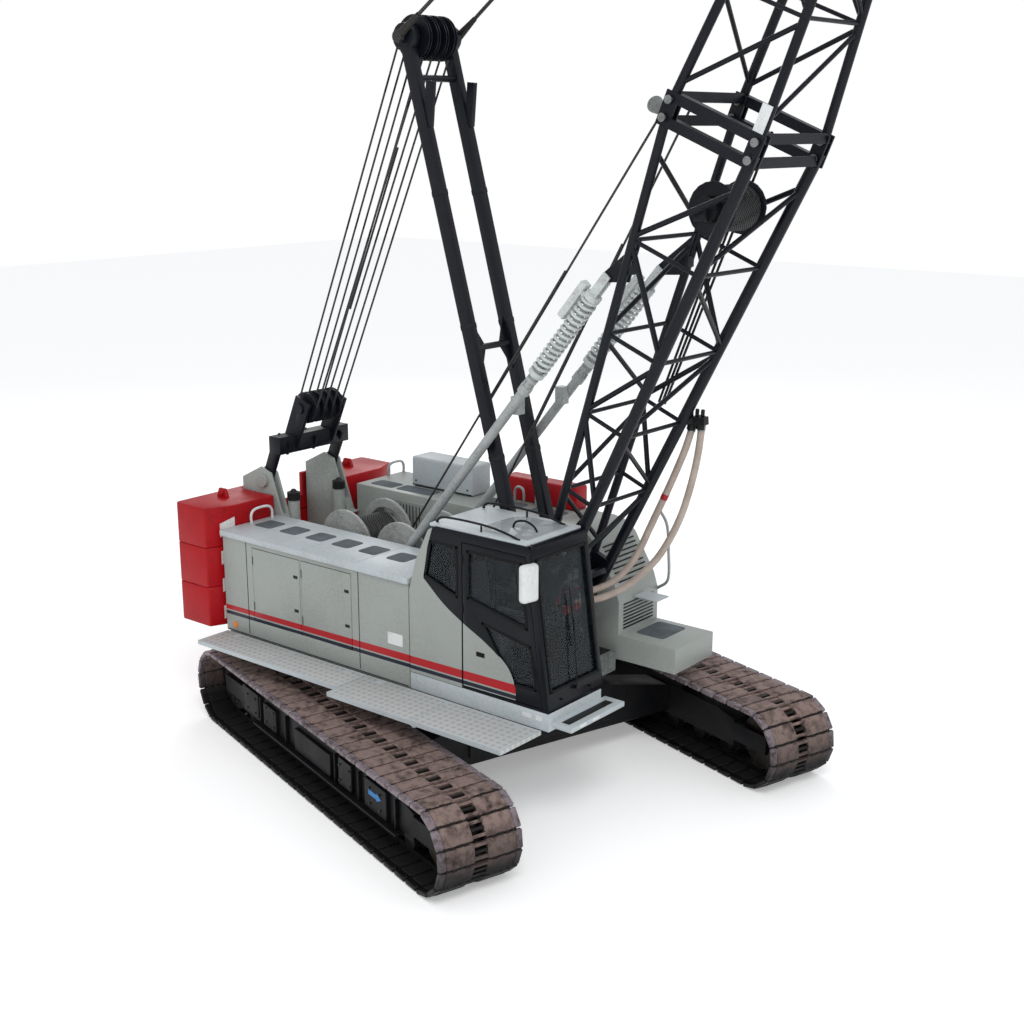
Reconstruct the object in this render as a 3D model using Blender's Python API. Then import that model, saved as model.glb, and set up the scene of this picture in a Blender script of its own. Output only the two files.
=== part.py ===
"""Crawler crane with a lattice boom: the solids of its sub-parts, in metres.

+X is ahead of the upper works, +Y its left side, +Z up. The origin is on the ground,
on the slewing axis. The crawlers are turned about that axis under the upper works.
"""
import math

import bmesh
import bpy
from mathutils import Matrix, Vector

# ---------------------------------------------------------------- driving dimensions
# crawlers
TRACK_LENGTH = 6.00
TRACK_HEIGHT = 0.94
TRACK_GAUGE = 4.30
SHOE_WIDTH = 0.965
SHOE_COUNT = 58
SHOE_GAP = 0.030
SHOE_GAP_DEPTH = 0.022
TRACK_THICKNESS = 0.125
CRAWLER_TURN = math.radians(-17.1)
SIDE_FRAME_WIDTH = 0.50
ROLLER_COUNT = 9
ROLLER_RADIUS = 0.105
WHEEL_WIDTH = 0.34
TREAD_CLEARANCE = 0.004
CARBODY_HALF_LENGTH = 0.95
CARBODY_HALF_WIDTH = 1.00
CARBODY_BOTTOM = 0.42
CARBODY_TOP = 0.98
AXLE_PLACE = 0.72
AXLE_HALF_LENGTH = 0.20
SLEW_RING_RADIUS = 0.82
SLEW_RING_HEIGHT = 0.11
SLEW_GAP = 0.006

# upper works
DECK_BOTTOM = CARBODY_TOP + SLEW_RING_HEIGHT + SLEW_GAP
DECK_TOP = 1.34
DECK_REAR = -3.14
DECK_FRONT = 1.30
DECK_HALF_WIDTH = 0.60
SIDE_BOTTOM = 1.20
BODY_HALF_WIDTH = 1.53
HOUSE_REAR = -3.13
HOUSE_RIGHT_FRONT = -0.012
HOUSE_LEFT_FRONT = 0.25
HOUSE_LEFT_REAR = -2.95
HOUSE_LEFT_TOP = 2.70
HOUSE_INNER = 0.62
HOUSE_TOP = 2.48
PANEL_WALL = 0.040
DOOR_THICKNESS = 0.036
DOOR_GAP = 0.006
TOUCH_GAP = 0.0005

# rigging geometry
FOOT_X = 0.819
FOOT_Z = 1.646
FOOT_Y = 0.450
FOOT_EYE_WIDTH = 0.070
FOOT_PIN_RADIUS = 0.050
FOOT_BORE_RADIUS = 0.058
BOOM_ANGLE = math.radians(67.7)
BOOM_BASE_LENGTH = 6.05
BOOM_TOP_LENGTH = 6.10
BOOM_HALF_WIDTH = 0.6376
BOOM_HALF_DEPTH = 0.514
BOOM_FOOT_HALF_DEPTH = 0.045
BOOM_JOINT_GAP = 0.014
HEAD_SCALE = 0.22
HEAD_REACH = 0.40
REAR_CHORD_RADIUS = 0.048
FRONT_CHORD_RADIUS = 0.062
LACING_RADIUS = 0.029
SHEAVE_RADIUS = 0.33
SHEAVE_SPACING = 0.12
MAST_ANGLE = math.radians(105.44)
MAST_LENGTH = 6.83
MAST_FOOT_Y = 0.320
MAST_HEAD_Y = 0.344
MAST_LEG_HALF = 0.052
MAST_SHEAVE_RADIUS = 0.23
GANTRY_PIN_X = -3.37
GANTRY_PIN_Z = 2.91
GANTRY_Y = 0.55
BAIL_REACH = 1.02
BACKSTOP_FOOT_X = -1.50
BACKSTOP_FOOT_Z = 1.80
BACKSTOP_Y = 0.49
BACKSTOP_EYE_X = 1.86
BACKSTOP_EYE_Z = 5.80
BACKSTOP_TUBE_LENGTH = 3.95
BACKSTOP_TUBE_RADIUS = 0.055
BACKSTOP_BORE_RADIUS = 0.042
BACKSTOP_ROD_RADIUS = 0.034
BACKSTOP_ROD_LENGTH = 3.20
SPRING_LENGTH = 1.18
SPRING_RADIUS = 0.095
SPRING_BORE_RADIUS = 0.071
ROPE_RADIUS = 0.013

# winches
HOIST_DRUM_X = -2.15
REAR_DRUM_X = -1.20
FRONT_DRUM_X = -0.25
DRUM_Z = 2.23
DRUM_FLANGE_RADIUS = 0.44
DRUM_CORE_RADIUS = 0.26
DRUM_HALF_WIDTH = 0.385
WINCH_PLATE = 0.022
WINCH_PLATE_Y = 0.412
SHAFT_RADIUS = 0.060
SHAFT_CLEARANCE = 0.002

# cab
CAB_OUTER_Y = -1.53
CAB_INNER_Y = -0.566
CAB_WALL = 0.050
CAB_FLOOR_Z = 1.40
DOOR_REAR_X = 0.770
WINDSCREEN_FOOT = (1.945, 1.454)
WINDSCREEN_HEAD = (1.706, 3.116)

# counterweight
WEIGHT_REAR = -3.878
WEIGHT_FRONT = -3.16
WEIGHT_HALF_WIDTH = 1.652
WEIGHT_BOTTOM = 1.22
WEIGHT_TOP = 2.75
WEIGHT_SLABS = 3
WEIGHT_NOTCH_Y = 0.64

# walkways
WALKWAY_Z = 1.200
WALKWAY_THICKNESS = 0.045
WALKWAY_REAR_WIDTH = 0.48
WALKWAY_FRONT_WIDTH = 0.66
WALKWAY_SPLIT_X = -0.66
WALKWAY_FRONT_END_X = 1.86

COLLECTION = "crawler_crane"
ROUND = 16
FLAT_ANGLE = math.radians(0.2)


# ---------------------------------------------------------------- scene and materials
for old in list(bpy.data.objects):
    bpy.data.objects.remove(old, do_unlink=True)

parts = bpy.data.collections.new(COLLECTION)
bpy.context.scene.collection.children.link(parts)


def paint(name, colour, roughness=0.45, metallic=0.0, alpha=1.0):
    material = bpy.data.materials.new(name)
    material.use_nodes = True
    shader = material.node_tree.nodes["Principled BSDF"]
    shader.inputs["Base Color"].default_value = (*colour, 1.0)
    shader.inputs["Roughness"].default_value = roughness
    shader.inputs["Metallic"].default_value = metallic
    shader.inputs["Alpha"].default_value = alpha
    material.diffuse_color = (*colour, alpha)
    return material


GREY = paint("grey_enamel", (0.28, 0.31, 0.30))
LIGHT_GREY = paint("light_grey_enamel", (0.42, 0.44, 0.45))
RED = paint("red_enamel", (0.42, 0.01, 0.01))
BLACK = paint("black_enamel", (0.012, 0.014, 0.018), 0.4)
TRACK_STEEL = paint("worn_track_steel", (0.05, 0.035, 0.025), 0.8, 0.6)
BRIGHT_STEEL = paint("bare_steel", (0.45, 0.45, 0.44), 0.35, 1.0)
ROPE_STEEL = paint("wire_rope", (0.08, 0.08, 0.08), 0.5, 0.8)
GLASS = paint("tinted_glass", (0.10, 0.16, 0.16), 0.05, 0.0, 0.4)
SEAT_FABRIC = paint("seat_fabric", (0.03, 0.03, 0.035), 0.9)
HOSE_SLEEVE = paint("tan_sleeve", (0.45, 0.37, 0.31), 0.85)
CAST_BLOCK = paint("engine_iron", (0.10, 0.10, 0.10), 0.6, 0.3)


# ---------------------------------------------------------------- modelling helpers
def from_bmesh(shape, name, material):
    bmesh.ops.recalc_face_normals(shape, faces=shape.faces)
    mesh = bpy.data.meshes.new(name)
    shape.to_mesh(mesh)
    shape.free()
    obj = bpy.data.objects.new(name, mesh)
    parts.objects.link(obj)
    mesh.materials.append(material)
    return obj


def box(name, low, high, material=GREY):
    """A block between two corners."""
    shape = bmesh.new()
    size = [h - l for l, h in zip(low, high)]
    middle = [(h + l) / 2 for l, h in zip(low, high)]
    matrix = Matrix.Translation(middle) @ Matrix.Diagonal((*size, 1.0))
    bmesh.ops.create_cube(shape, size=1.0, matrix=matrix)
    return from_bmesh(shape, name, material)


def rod(name, start, end, radius, material=GREY, sides=ROUND, end_radius=None):
    """A round bar or a cone from one point to another."""
    start = Vector(start)
    end = Vector(end)
    along = end - start
    turn = along.to_track_quat("Z", "Y").to_matrix().to_4x4()
    matrix = Matrix.Translation((start + end) / 2) @ turn
    shape = bmesh.new()
    bmesh.ops.create_cone(
        shape,
        cap_ends=True,
        segments=sides,
        radius1=radius,
        radius2=radius if end_radius is None else end_radius,
        depth=along.length,
        matrix=matrix,
    )
    return from_bmesh(shape, name, material)


def cross_bar(name, x, z, half_width, radius, material=GREY, sides=ROUND):
    """A round bar across the machine, centred on it."""
    return rod(name, (x, -half_width, z), (x, half_width, z), radius, material, sides)


def plate(name, outline, low, high, material=GREY, plane="XZ"):
    """A flat outline, drawn in one plane and extruded between two levels of the third axis."""
    shape = bmesh.new()
    place = {
        "XZ": lambda a, b: (a, low, b),
        "XY": lambda a, b: (a, b, low),
        "YZ": lambda a, b: (low, a, b),
    }[plane]
    shift = {"XZ": (0, high - low, 0), "XY": (0, 0, high - low), "YZ": (high - low, 0, 0)}[plane]
    face = shape.faces.new([shape.verts.new(place(a, b)) for a, b in outline])
    grown = bmesh.ops.extrude_face_region(shape, geom=[face])
    moved = [item for item in grown["geom"] if isinstance(item, bmesh.types.BMVert)]
    bmesh.ops.translate(shape, verts=moved, vec=shift)
    return from_bmesh(shape, name, material)


def tube(name, points, radius, material, resolution=2):
    """A round tube along points, made a closed mesh."""
    curve = bpy.data.curves.new(name, "CURVE")
    curve.dimensions = "3D"
    spline = curve.splines.new("POLY")
    spline.points.add(len(points) - 1)
    for target, point in zip(spline.points, points):
        target.co = (*point, 1.0)
    curve.bevel_depth = radius
    curve.bevel_resolution = resolution
    curve.use_fill_caps = True
    guide = bpy.data.objects.new(name + "_line", curve)
    parts.objects.link(guide)
    evaluated = guide.evaluated_get(bpy.context.evaluated_depsgraph_get())
    mesh = bpy.data.meshes.new_from_object(evaluated)
    bpy.data.objects.remove(guide, do_unlink=True)
    shape = bmesh.new()
    shape.from_mesh(mesh)
    bpy.data.meshes.remove(mesh)
    bmesh.ops.remove_doubles(shape, verts=shape.verts, dist=0.00005)
    return from_bmesh(shape, name, material)


def combine(base, others, operation):
    """Add to or cut from one object, with the others used up."""
    tools = bpy.data.collections.new(base.name + "_tools")
    for other in others:
        tools.objects.link(other)
    modifier = base.modifiers.new("join", "BOOLEAN")
    modifier.operation = operation
    modifier.operand_type = "COLLECTION"
    modifier.collection = tools
    modifier.solver = "EXACT"
    bpy.context.view_layer.update()
    evaluated = base.evaluated_get(bpy.context.evaluated_depsgraph_get())
    mesh = bpy.data.meshes.new_from_object(evaluated)
    materials = list(base.data.materials)
    base.modifiers.clear()
    base.data = mesh
    base.data.materials.clear()
    for material in materials[:1]:
        base.data.materials.append(material)
    for other in others:
        bpy.data.objects.remove(other, do_unlink=True)
    bpy.data.collections.remove(tools)
    shape = bmesh.new()
    shape.from_mesh(base.data)
    bmesh.ops.remove_doubles(shape, verts=shape.verts, dist=0.00002)
    bmesh.ops.dissolve_degenerate(shape, edges=shape.edges, dist=0.00002)
    bmesh.ops.dissolve_limit(shape, angle_limit=FLAT_ANGLE, verts=shape.verts, edges=shape.edges)
    bmesh.ops.triangulate(shape, faces=shape.faces)
    shape.to_mesh(base.data)
    shape.free()
    return base


def join(base, *others):
    """Weld overlapping solids into one, one after another."""
    for other in others:
        combine(base, [other], "UNION")
    return base


def cut(base, *cutters):
    for cutter in cutters:
        combine(base, [cutter], "DIFFERENCE")
    return base


def move_origin(obj, pivot):
    """Put an object's origin on its joint's axis, with the mesh staying where it is."""
    pivot = Vector(pivot)
    obj.data.transform(Matrix.Translation(-pivot))
    obj.location = pivot
    return obj


def arc(centre, radius, start, end, steps):
    """Points of an arc in a plane, angles in degrees."""
    points = []
    for step in range(steps + 1):
        angle = math.radians(start + (end - start) * step / steps)
        points.append((centre[0] + radius * math.cos(angle), centre[1] + radius * math.sin(angle)))
    return points


def turned(point, angle, centre=(0.0, 0.0)):
    """A point of the XZ plane turned about a centre, anticlockwise seen from -Y."""
    dx = point[0] - centre[0]
    dz = point[1] - centre[1]
    cosine = math.cos(angle)
    sine = math.sin(angle)
    return (centre[0] + dx * cosine - dz * sine, centre[1] + dx * sine + dz * cosine)


def along_boom(u, v, y):
    """A point u along the boom from its foot pin, v behind its centre line."""
    cosine = math.cos(BOOM_ANGLE)
    sine = math.sin(BOOM_ANGLE)
    return (FOOT_X + u * cosine - v * sine, y, FOOT_Z + u * sine + v * cosine)


def along_mast(d, v, y):
    """A point d along the mast from its foot pin, v behind its centre line."""
    cosine = math.cos(MAST_ANGLE)
    sine = math.sin(MAST_ANGLE)
    return (FOOT_X + d * cosine - v * sine, y, FOOT_Z + d * sine + v * cosine)


def beam(name, start, end, half_across, half_deep, material=GREY):
    """A square bar between two points, half_across being along Y where it can."""
    start = Vector(start)
    end = Vector(end)
    along = end - start
    turn = along.to_track_quat("Z", "Y").to_matrix().to_4x4()
    size = Matrix.Diagonal((2 * half_across, 2 * half_deep, along.length, 1.0))
    shape = bmesh.new()
    matrix = Matrix.Translation((start + end) / 2) @ turn @ size
    bmesh.ops.create_cube(shape, size=1.0, matrix=matrix)
    return from_bmesh(shape, name, material)


# ---------------------------------------------------------------- crawlers
def turn_crawlers(obj):
    obj.data.transform(Matrix.Rotation(CRAWLER_TURN, 4, "Z"))
    return obj


def loop_point(distance, radius, half_straight):
    """A point on a stadium at a distance along its own line, and its outward direction."""
    straight = 2 * half_straight
    bend = math.pi * radius
    distance = distance % (2 * (straight + bend))
    if distance < straight:
        return (-half_straight + distance, radius), (0.0, 1.0)
    distance -= straight
    if distance < bend:
        angle = math.pi / 2 - distance / radius
        return (
            (half_straight + radius * math.cos(angle), radius * math.sin(angle)),
            (math.cos(angle), math.sin(angle)),
        )
    distance -= bend
    if distance < straight:
        return (half_straight - distance, -radius), (0.0, -1.0)
    distance -= straight
    angle = -math.pi / 2 - distance / radius
    return (
        (-half_straight + radius * math.cos(angle), radius * math.sin(angle)),
        (math.cos(angle), math.sin(angle)),
    )


def track_loop(name, side):
    radius = TRACK_HEIGHT / 2
    half_straight = TRACK_LENGTH / 2 - radius
    middle = radius
    total = 4 * half_straight + 2 * math.pi * radius
    pitch = total / SHOE_COUNT
    outline = []
    for shoe in range(SHOE_COUNT):
        first = shoe * pitch + SHOE_GAP / 2
        last = (shoe + 1) * pitch - SHOE_GAP / 2
        for distance, depth in ((first, SHOE_GAP_DEPTH), (first, 0.0), (last, 0.0), (last, SHOE_GAP_DEPTH)):
            (x, z), (out_x, out_z) = loop_point(distance, radius, half_straight)
            outline.append((x - depth * out_x, middle + z - depth * out_z))
    y = side * TRACK_GAUGE / 2
    track = plate(name, outline, y - SHOE_WIDTH / 2, y + SHOE_WIDTH / 2, TRACK_STEEL)
    inside = radius - TRACK_THICKNESS
    hole = arc((half_straight, middle), inside, -90, 90, 18)
    hole += arc((-half_straight, middle), inside, 90, 270, 18)
    cutter = plate(name + "_hole", hole, y - SHOE_WIDTH, y + SHOE_WIDTH, TRACK_STEEL)
    return turn_crawlers(cut(track, cutter))


def end_wheel(name, side, x, teeth_radius, hub_radius):
    """The idler or sprocket at one end of a crawler: a dished wheel with a hub."""
    y = side * TRACK_GAUGE / 2
    z = TRACK_HEIGHT / 2
    half = WHEEL_WIDTH / 2
    wheel = rod(name, (x, y - half, z), (x, y + half, z), teeth_radius, BLACK, 24)
    hub = rod(name + "_hub", (x, y - half - 0.02, z), (x, y + half + 0.02, z), hub_radius, BLACK)
    bore = rod(name + "_bore", (x, y - 1, z), (x, y + 1, z), SHAFT_RADIUS + SHAFT_CLEARANCE)
    join(wheel, hub)
    return turn_crawlers(cut(wheel, bore))


def side_frame(name, side):
    """A crawler's side frame with its rollers, shafts and travel gear case."""
    y = side * TRACK_GAUGE / 2
    half = SIDE_FRAME_WIDTH / 2
    middle = TRACK_HEIGHT / 2
    inside = middle - TRACK_THICKNESS
    reach = TRACK_LENGTH / 2 - TRACK_HEIGHT / 2
    low = middle - inside + 2 * ROLLER_RADIUS - 0.05
    high = middle + inside - 0.14
    body_reach = reach - 0.42
    outline = [
        (-body_reach, low),
        (body_reach, low),
        (body_reach, high - 0.06),
        (body_reach - 0.30, high),
        (-body_reach + 0.30, high),
        (-body_reach, high - 0.06),
    ]
    frame = plate(name, outline, y - half, y + half, BLACK)
    shaft_half = SIDE_FRAME_WIDTH / 2 - 0.02
    for end in (-1, 1):
        for cheek in (-1, 1):
            near = y + cheek * (half - 0.045)
            far = y + cheek * half
            fork = plate(
                name + "_fork",
                [
                    (end * (body_reach - 0.2), middle - 0.11),
                    (end * (reach + 0.11), middle - 0.11),
                    (end * (reach + 0.11), middle + 0.11),
                    (end * (body_reach - 0.2), middle + 0.11),
                ],
                min(near, far),
                max(near, far),
                BLACK,
            )
            join(frame, fork)
        shaft = rod(
            name + "_shaft",
            (end * reach, y - shaft_half, middle),
            (end * reach, y + shaft_half, middle),
            SHAFT_RADIUS,
            BLACK,
        )
        join(frame, shaft)
    spacing = 2 * (body_reach - 0.18) / (ROLLER_COUNT - 1)
    roller_z = middle - inside + ROLLER_RADIUS + TREAD_CLEARANCE
    for index in range(ROLLER_COUNT):
        x = -(body_reach - 0.18) + index * spacing
        roller = rod(
            name + "_roller", (x, y - 0.20, roller_z), (x, y + 0.20, roller_z), ROLLER_RADIUS, BLACK, 12
        )
        join(frame, roller)
    for x in (-1.1, 1.1):
        top_z = middle + inside - 0.075 - TREAD_CLEARANCE
        carrier = rod(name + "_carrier", (x, y - 0.15, top_z), (x, y + 0.15, top_z), 0.075, BLACK, 12)
        join(frame, carrier)
    inner = y - side * half
    drive_x = -reach + 0.02
    case = rod(
        name + "_drive",
        (drive_x, inner + side * 0.04, middle),
        (drive_x, inner - side * 0.34, middle),
        0.27,
        BLACK,
        20,
    )
    join(frame, case)
    link = box(
        name + "_drive_mount",
        (drive_x - 0.1, min(inner, inner - side * 0.12), middle - 0.17),
        (-body_reach + 0.45, max(inner, inner - side * 0.12), middle + 0.17),
        BLACK,
    )
    return turn_crawlers(join(frame, link))


def make_crawlers():
    reach = TRACK_LENGTH / 2 - TRACK_HEIGHT / 2
    wheel_radius = TRACK_HEIGHT / 2 - TRACK_THICKNESS - TREAD_CLEARANCE
    for side, label in ((-1, "right"), (1, "left")):
        track_loop("track_" + label, side)
        side_frame("track_frame_" + label, side)
        end_wheel("idler_" + label, side, reach, wheel_radius, 0.13)
        end_wheel("sprocket_" + label, side, -reach, wheel_radius, 0.16)


def make_carbody():
    inner = TRACK_GAUGE / 2 - SIDE_FRAME_WIDTH / 2 - TOUCH_GAP
    body = box(
        "carbody",
        (-CARBODY_HALF_LENGTH, -CARBODY_HALF_WIDTH, CARBODY_BOTTOM),
        (CARBODY_HALF_LENGTH, CARBODY_HALF_WIDTH, CARBODY_TOP - 0.10),
        BLACK,
    )
    for x in (-AXLE_PLACE, AXLE_PLACE):
        outline = [
            (-inner, 0.32),
            (inner, 0.32),
            (inner, 0.66),
            (1.05, CARBODY_TOP - 0.14),
            (-1.05, CARBODY_TOP - 0.14),
            (-inner, 0.66),
        ]
        axle = plate(
            "axle_beam", outline, x - AXLE_HALF_LENGTH, x + AXLE_HALF_LENGTH, BLACK, plane="YZ"
        )
        join(body, axle)
    pedestal = rod(
        "pedestal", (0, 0, CARBODY_BOTTOM + 0.1), (0, 0, CARBODY_TOP - TOUCH_GAP), 0.86, BLACK, 32
    )
    join(body, pedestal)
    turn_crawlers(body)
    ring = rod(
        "slew_ring", (0, 0, CARBODY_TOP), (0, 0, CARBODY_TOP + SLEW_RING_HEIGHT), SLEW_RING_RADIUS,
        BRIGHT_STEEL, 40,
    )
    return body, ring


# ---------------------------------------------------------------- upper works
def foot_lug(name, low_y, high_y):
    outline = [(FOOT_X - 0.30, DECK_TOP - 0.08), (FOOT_X + 0.34, DECK_TOP - 0.08)]
    outline += arc((FOOT_X, FOOT_Z), 0.105, 0, 180, 8)
    return plate(name, outline, low_y, high_y, GREY)


def make_revolving_frame():
    deck = box(
        "revolving_frame",
        (DECK_REAR, -DECK_HALF_WIDTH, DECK_BOTTOM),
        (DECK_FRONT, DECK_HALF_WIDTH, DECK_TOP),
        GREY,
    )
    tail = box("tail", (GANTRY_PIN_X - 0.42, -0.60, 1.14), (DECK_REAR + 0.05, 0.60, DECK_TOP), GREY)
    join(deck, tail)
    for side in (-1, 1):
        outrigger = box(
            "outrigger",
            (HOUSE_REAR + 0.02, min(side * 0.55, side * 1.50), SIDE_BOTTOM - 0.07),
            (1.16, max(side * 0.55, side * 1.50), SIDE_BOTTOM - TOUCH_GAP),
            GREY,
        )
        join(deck, outrigger)
        for low, high in ((0.228, 0.256), (0.382, 0.402), (0.497, 0.522)):
            edges = sorted((side * low, side * high))
            join(deck, foot_lug("foot_lug", *edges))
        edges = sorted((side * 0.235, side * 0.515))
        pin = rod(
            "foot_pin", (FOOT_X, edges[0], FOOT_Z), (FOOT_X, edges[1], FOOT_Z), FOOT_PIN_RADIUS, GREY
        )
        join(deck, pin)
        edges = sorted((side * (WINCH_PLATE_Y - WINCH_PLATE / 2), side * (WINCH_PLATE_Y + WINCH_PLATE / 2)))
        for x in (HOIST_DRUM_X, REAR_DRUM_X, FRONT_DRUM_X):
            outline = [(x - 0.40, DECK_TOP - 0.05), (x + 0.40, DECK_TOP - 0.05)]
            outline += arc((x, DRUM_Z), 0.12, 10, 170, 6)
            join(deck, plate("winch_plate", outline, *edges))
        low, high = sorted((side * 0.540, side * 0.562))
        outline = [(BACKSTOP_FOOT_X - 0.2, DECK_TOP - 0.05), (BACKSTOP_FOOT_X + 0.2, DECK_TOP - 0.05)]
        outline += arc((BACKSTOP_FOOT_X, BACKSTOP_FOOT_Z), 0.085, 0, 180, 6)
        join(deck, plate("backstop_lug", outline, low, high))
        low, high = sorted((side * (BACKSTOP_Y - 0.02), side * 0.55))
        pin = rod(
            "backstop_pin",
            (BACKSTOP_FOOT_X, low, BACKSTOP_FOOT_Z),
            (BACKSTOP_FOOT_X, high, BACKSTOP_FOOT_Z),
            0.028,
            GREY,
            12,
        )
        join(deck, pin)
    for x in (HOIST_DRUM_X, REAR_DRUM_X, FRONT_DRUM_X):
        join(deck, cross_bar("winch_shaft", x, DRUM_Z, WINCH_PLATE_Y, SHAFT_RADIUS))
    return deck


def make_gantry():
    """Two slotted legs with the jacking cylinders of the counterweight between them."""
    outline = [
        (GANTRY_PIN_X - 0.41, DECK_TOP),
        (-2.94, DECK_TOP),
        (-2.98, 2.30),
        (-3.10, 2.62),
        (GANTRY_PIN_X + 0.13, GANTRY_PIN_Z + 0.11),
        (GANTRY_PIN_X - 0.05, GANTRY_PIN_Z + 0.17),
        (GANTRY_PIN_X - 0.41, GANTRY_PIN_Z - 0.01),
    ]
    legs = []
    for side in (-1, 1):
        low, high = sorted((side * (GANTRY_Y - 0.065), side * (GANTRY_Y + 0.065)))
        leg = plate("leg", outline, low, high)
        low, high = sorted((side * (GANTRY_Y - 0.036), side * (GANTRY_Y + 0.036)))
        slot = box("slot", (GANTRY_PIN_X - 1, low, GANTRY_PIN_Z - 0.42), (GANTRY_PIN_X + 1, high, 4))
        cut(leg, slot)
        low, high = sorted((side * (GANTRY_Y - 0.05), side * (GANTRY_Y + 0.05)))
        pin = rod("pin", (GANTRY_PIN_X, low, GANTRY_PIN_Z), (GANTRY_PIN_X, high, GANTRY_PIN_Z), 0.045)
        join(leg, pin)
        legs.append(leg)
    gantry = legs[0]
    gantry.name = "gantry"
    bridge = box("bridge", (-3.25, -0.56, DECK_TOP + TOUCH_GAP), (-2.98, 0.56, 1.52))
    join(gantry, legs[1], bridge)
    for side in (-1, 1):
        post = rod("post", (-3.06, side * 0.40, 1.45), (-3.06, side * 0.40, 2.66), 0.075)
        cap = rod("cap", (-3.06, side * 0.40, 2.60), (-3.06, side * 0.40, 2.76), 0.055)
        join(gantry, post, cap)
    base = box("under", (-4, -1, 1.0), (0, 1, DECK_TOP + TOUCH_GAP))
    return cut(gantry, base)


def make_counterweight():
    """Three stacked slabs with a notch for the gantry; the top one dips at its middle."""
    height = (WEIGHT_TOP - WEIGHT_BOTTOM) / WEIGHT_SLABS
    names = ("counterweight_lower", "counterweight_middle", "counterweight_top")
    outline = [
        (WEIGHT_REAR, -WEIGHT_HALF_WIDTH + 0.04),
        (WEIGHT_REAR + 0.05, -WEIGHT_HALF_WIDTH),
        (WEIGHT_FRONT - 0.15, -WEIGHT_HALF_WIDTH),
        (WEIGHT_FRONT - 0.004, -1.30),
        (WEIGHT_FRONT - 0.004, 1.30),
        (WEIGHT_FRONT - 0.15, WEIGHT_HALF_WIDTH),
        (WEIGHT_REAR + 0.05, WEIGHT_HALF_WIDTH),
        (WEIGHT_REAR, WEIGHT_HALF_WIDTH - 0.04),
    ]
    for index, name in enumerate(names):
        low = WEIGHT_BOTTOM + index * height
        high = low + height - TOUCH_GAP
        slab = plate(name, outline, low, high, RED, plane="XY")
        notch = box(
            "notch", (-3.805, -WEIGHT_NOTCH_Y, low - 0.1), (WEIGHT_FRONT + 0.5, WEIGHT_NOTCH_Y, high + 0.1)
        )
        cut(slab, notch)
        if name == "counterweight_top":
            dip = box("dip", (WEIGHT_REAR - 0.1, -0.44, low + 0.2), (-3.0, 0.44, high + 0.1))
            cut(slab, dip)


def house_shell(name, rear, front, top, side, doors):
    """A side housing open below, with the openings of its doors in the outer wall."""
    low_y, high_y = sorted((side * HOUSE_INNER, side * BODY_HALF_WIDTH))
    shell = box(name, (rear, low_y, SIDE_BOTTOM), (front, high_y, top), GREY)
    hollow = box(
        name + "_hollow",
        (rear + PANEL_WALL, low_y + PANEL_WALL, SIDE_BOTTOM - 0.2),
        (front - PANEL_WALL, high_y - PANEL_WALL, top - PANEL_WALL),
    )
    cut(shell, hollow)
    for first, last, bottom, head in doors:
        low_y, high_y = sorted((side * (BODY_HALF_WIDTH - 0.1), side * (BODY_HALF_WIDTH + 0.1)))
        opening = box(name + "_opening", (first, low_y, bottom), (last, high_y, head))
        cut(shell, opening)
    return shell


def panel_door(name, first, last, bottom, top, side, pivot_x):
    low_y, high_y = sorted((side * (BODY_HALF_WIDTH - DOOR_THICKNESS), side * BODY_HALF_WIDTH))
    door = box(
        name,
        (first + DOOR_GAP, low_y, bottom + DOOR_GAP),
        (last - DOOR_GAP, high_y, top - DOOR_GAP),
        GREY,
    )
    return move_origin(door, (pivot_x, side * BODY_HALF_WIDTH, (bottom + top) / 2))


RIGHT_DOORS = ((-2.60, -1.765, 1.43, 2.36), (-1.745, -0.91, 1.43, 2.36))
LEFT_DOORS = ((-2.75, -1.56, 1.43, 2.56), (-1.54, -0.35, 1.43, 2.56))


def make_houses():
    house_shell("house_right", HOUSE_REAR, HOUSE_RIGHT_FRONT, HOUSE_TOP, -1, RIGHT_DOORS)
    house_shell("house_left", HOUSE_LEFT_REAR, HOUSE_LEFT_FRONT, HOUSE_LEFT_TOP, 1, LEFT_DOORS)
    for name, place in (("side_door_rear", 0), ("side_door_front", 1)):
        first, last, bottom, top = RIGHT_DOORS[place]
        panel_door(name, first, last, bottom, top, -1, last - DOOR_GAP)
    for name, place in (("engine_door_rear", 0), ("engine_door_front", 1)):
        first, last, bottom, top = LEFT_DOORS[place]
        panel_door(name, first, last, bottom, top, 1, last - DOOR_GAP)
    box("engine", (-2.55, 0.78, SIDE_BOTTOM + 0.05), (-0.85, 1.36, 2.18), CAST_BLOCK)
    roof = HOUSE_LEFT_TOP + TOUCH_GAP
    box("air_box", (-2.30, 1.00, roof), (-1.25, 1.38, 3.10), GREY)
    box("red_tank", (-0.95, 1.26, roof), (0.20, 1.51, 3.00), RED)


def make_left_front():
    """The louvred cowl ahead of the engine housing with the low deck box ahead of it."""
    inner = 0.684
    rear = HOUSE_LEFT_FRONT + TOUCH_GAP
    outline = [
        (rear, SIDE_BOTTOM),
        (1.270, SIDE_BOTTOM),
        (1.270, 1.900),
        (1.210, 2.080),
        (1.040, 2.360),
        (0.930, 2.540),
        (0.800, 2.650),
        (0.620, 2.690),
        (rear, 2.690),
    ]
    cowl = plate("cowl_left", outline, inner, BODY_HALF_WIDTH - 0.03, GREY)
    deck_box = box("deck_box", (1.20, inner, SIDE_BOTTOM), (2.065, 1.498, 1.499), GREY)
    return join(cowl, deck_box)


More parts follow.
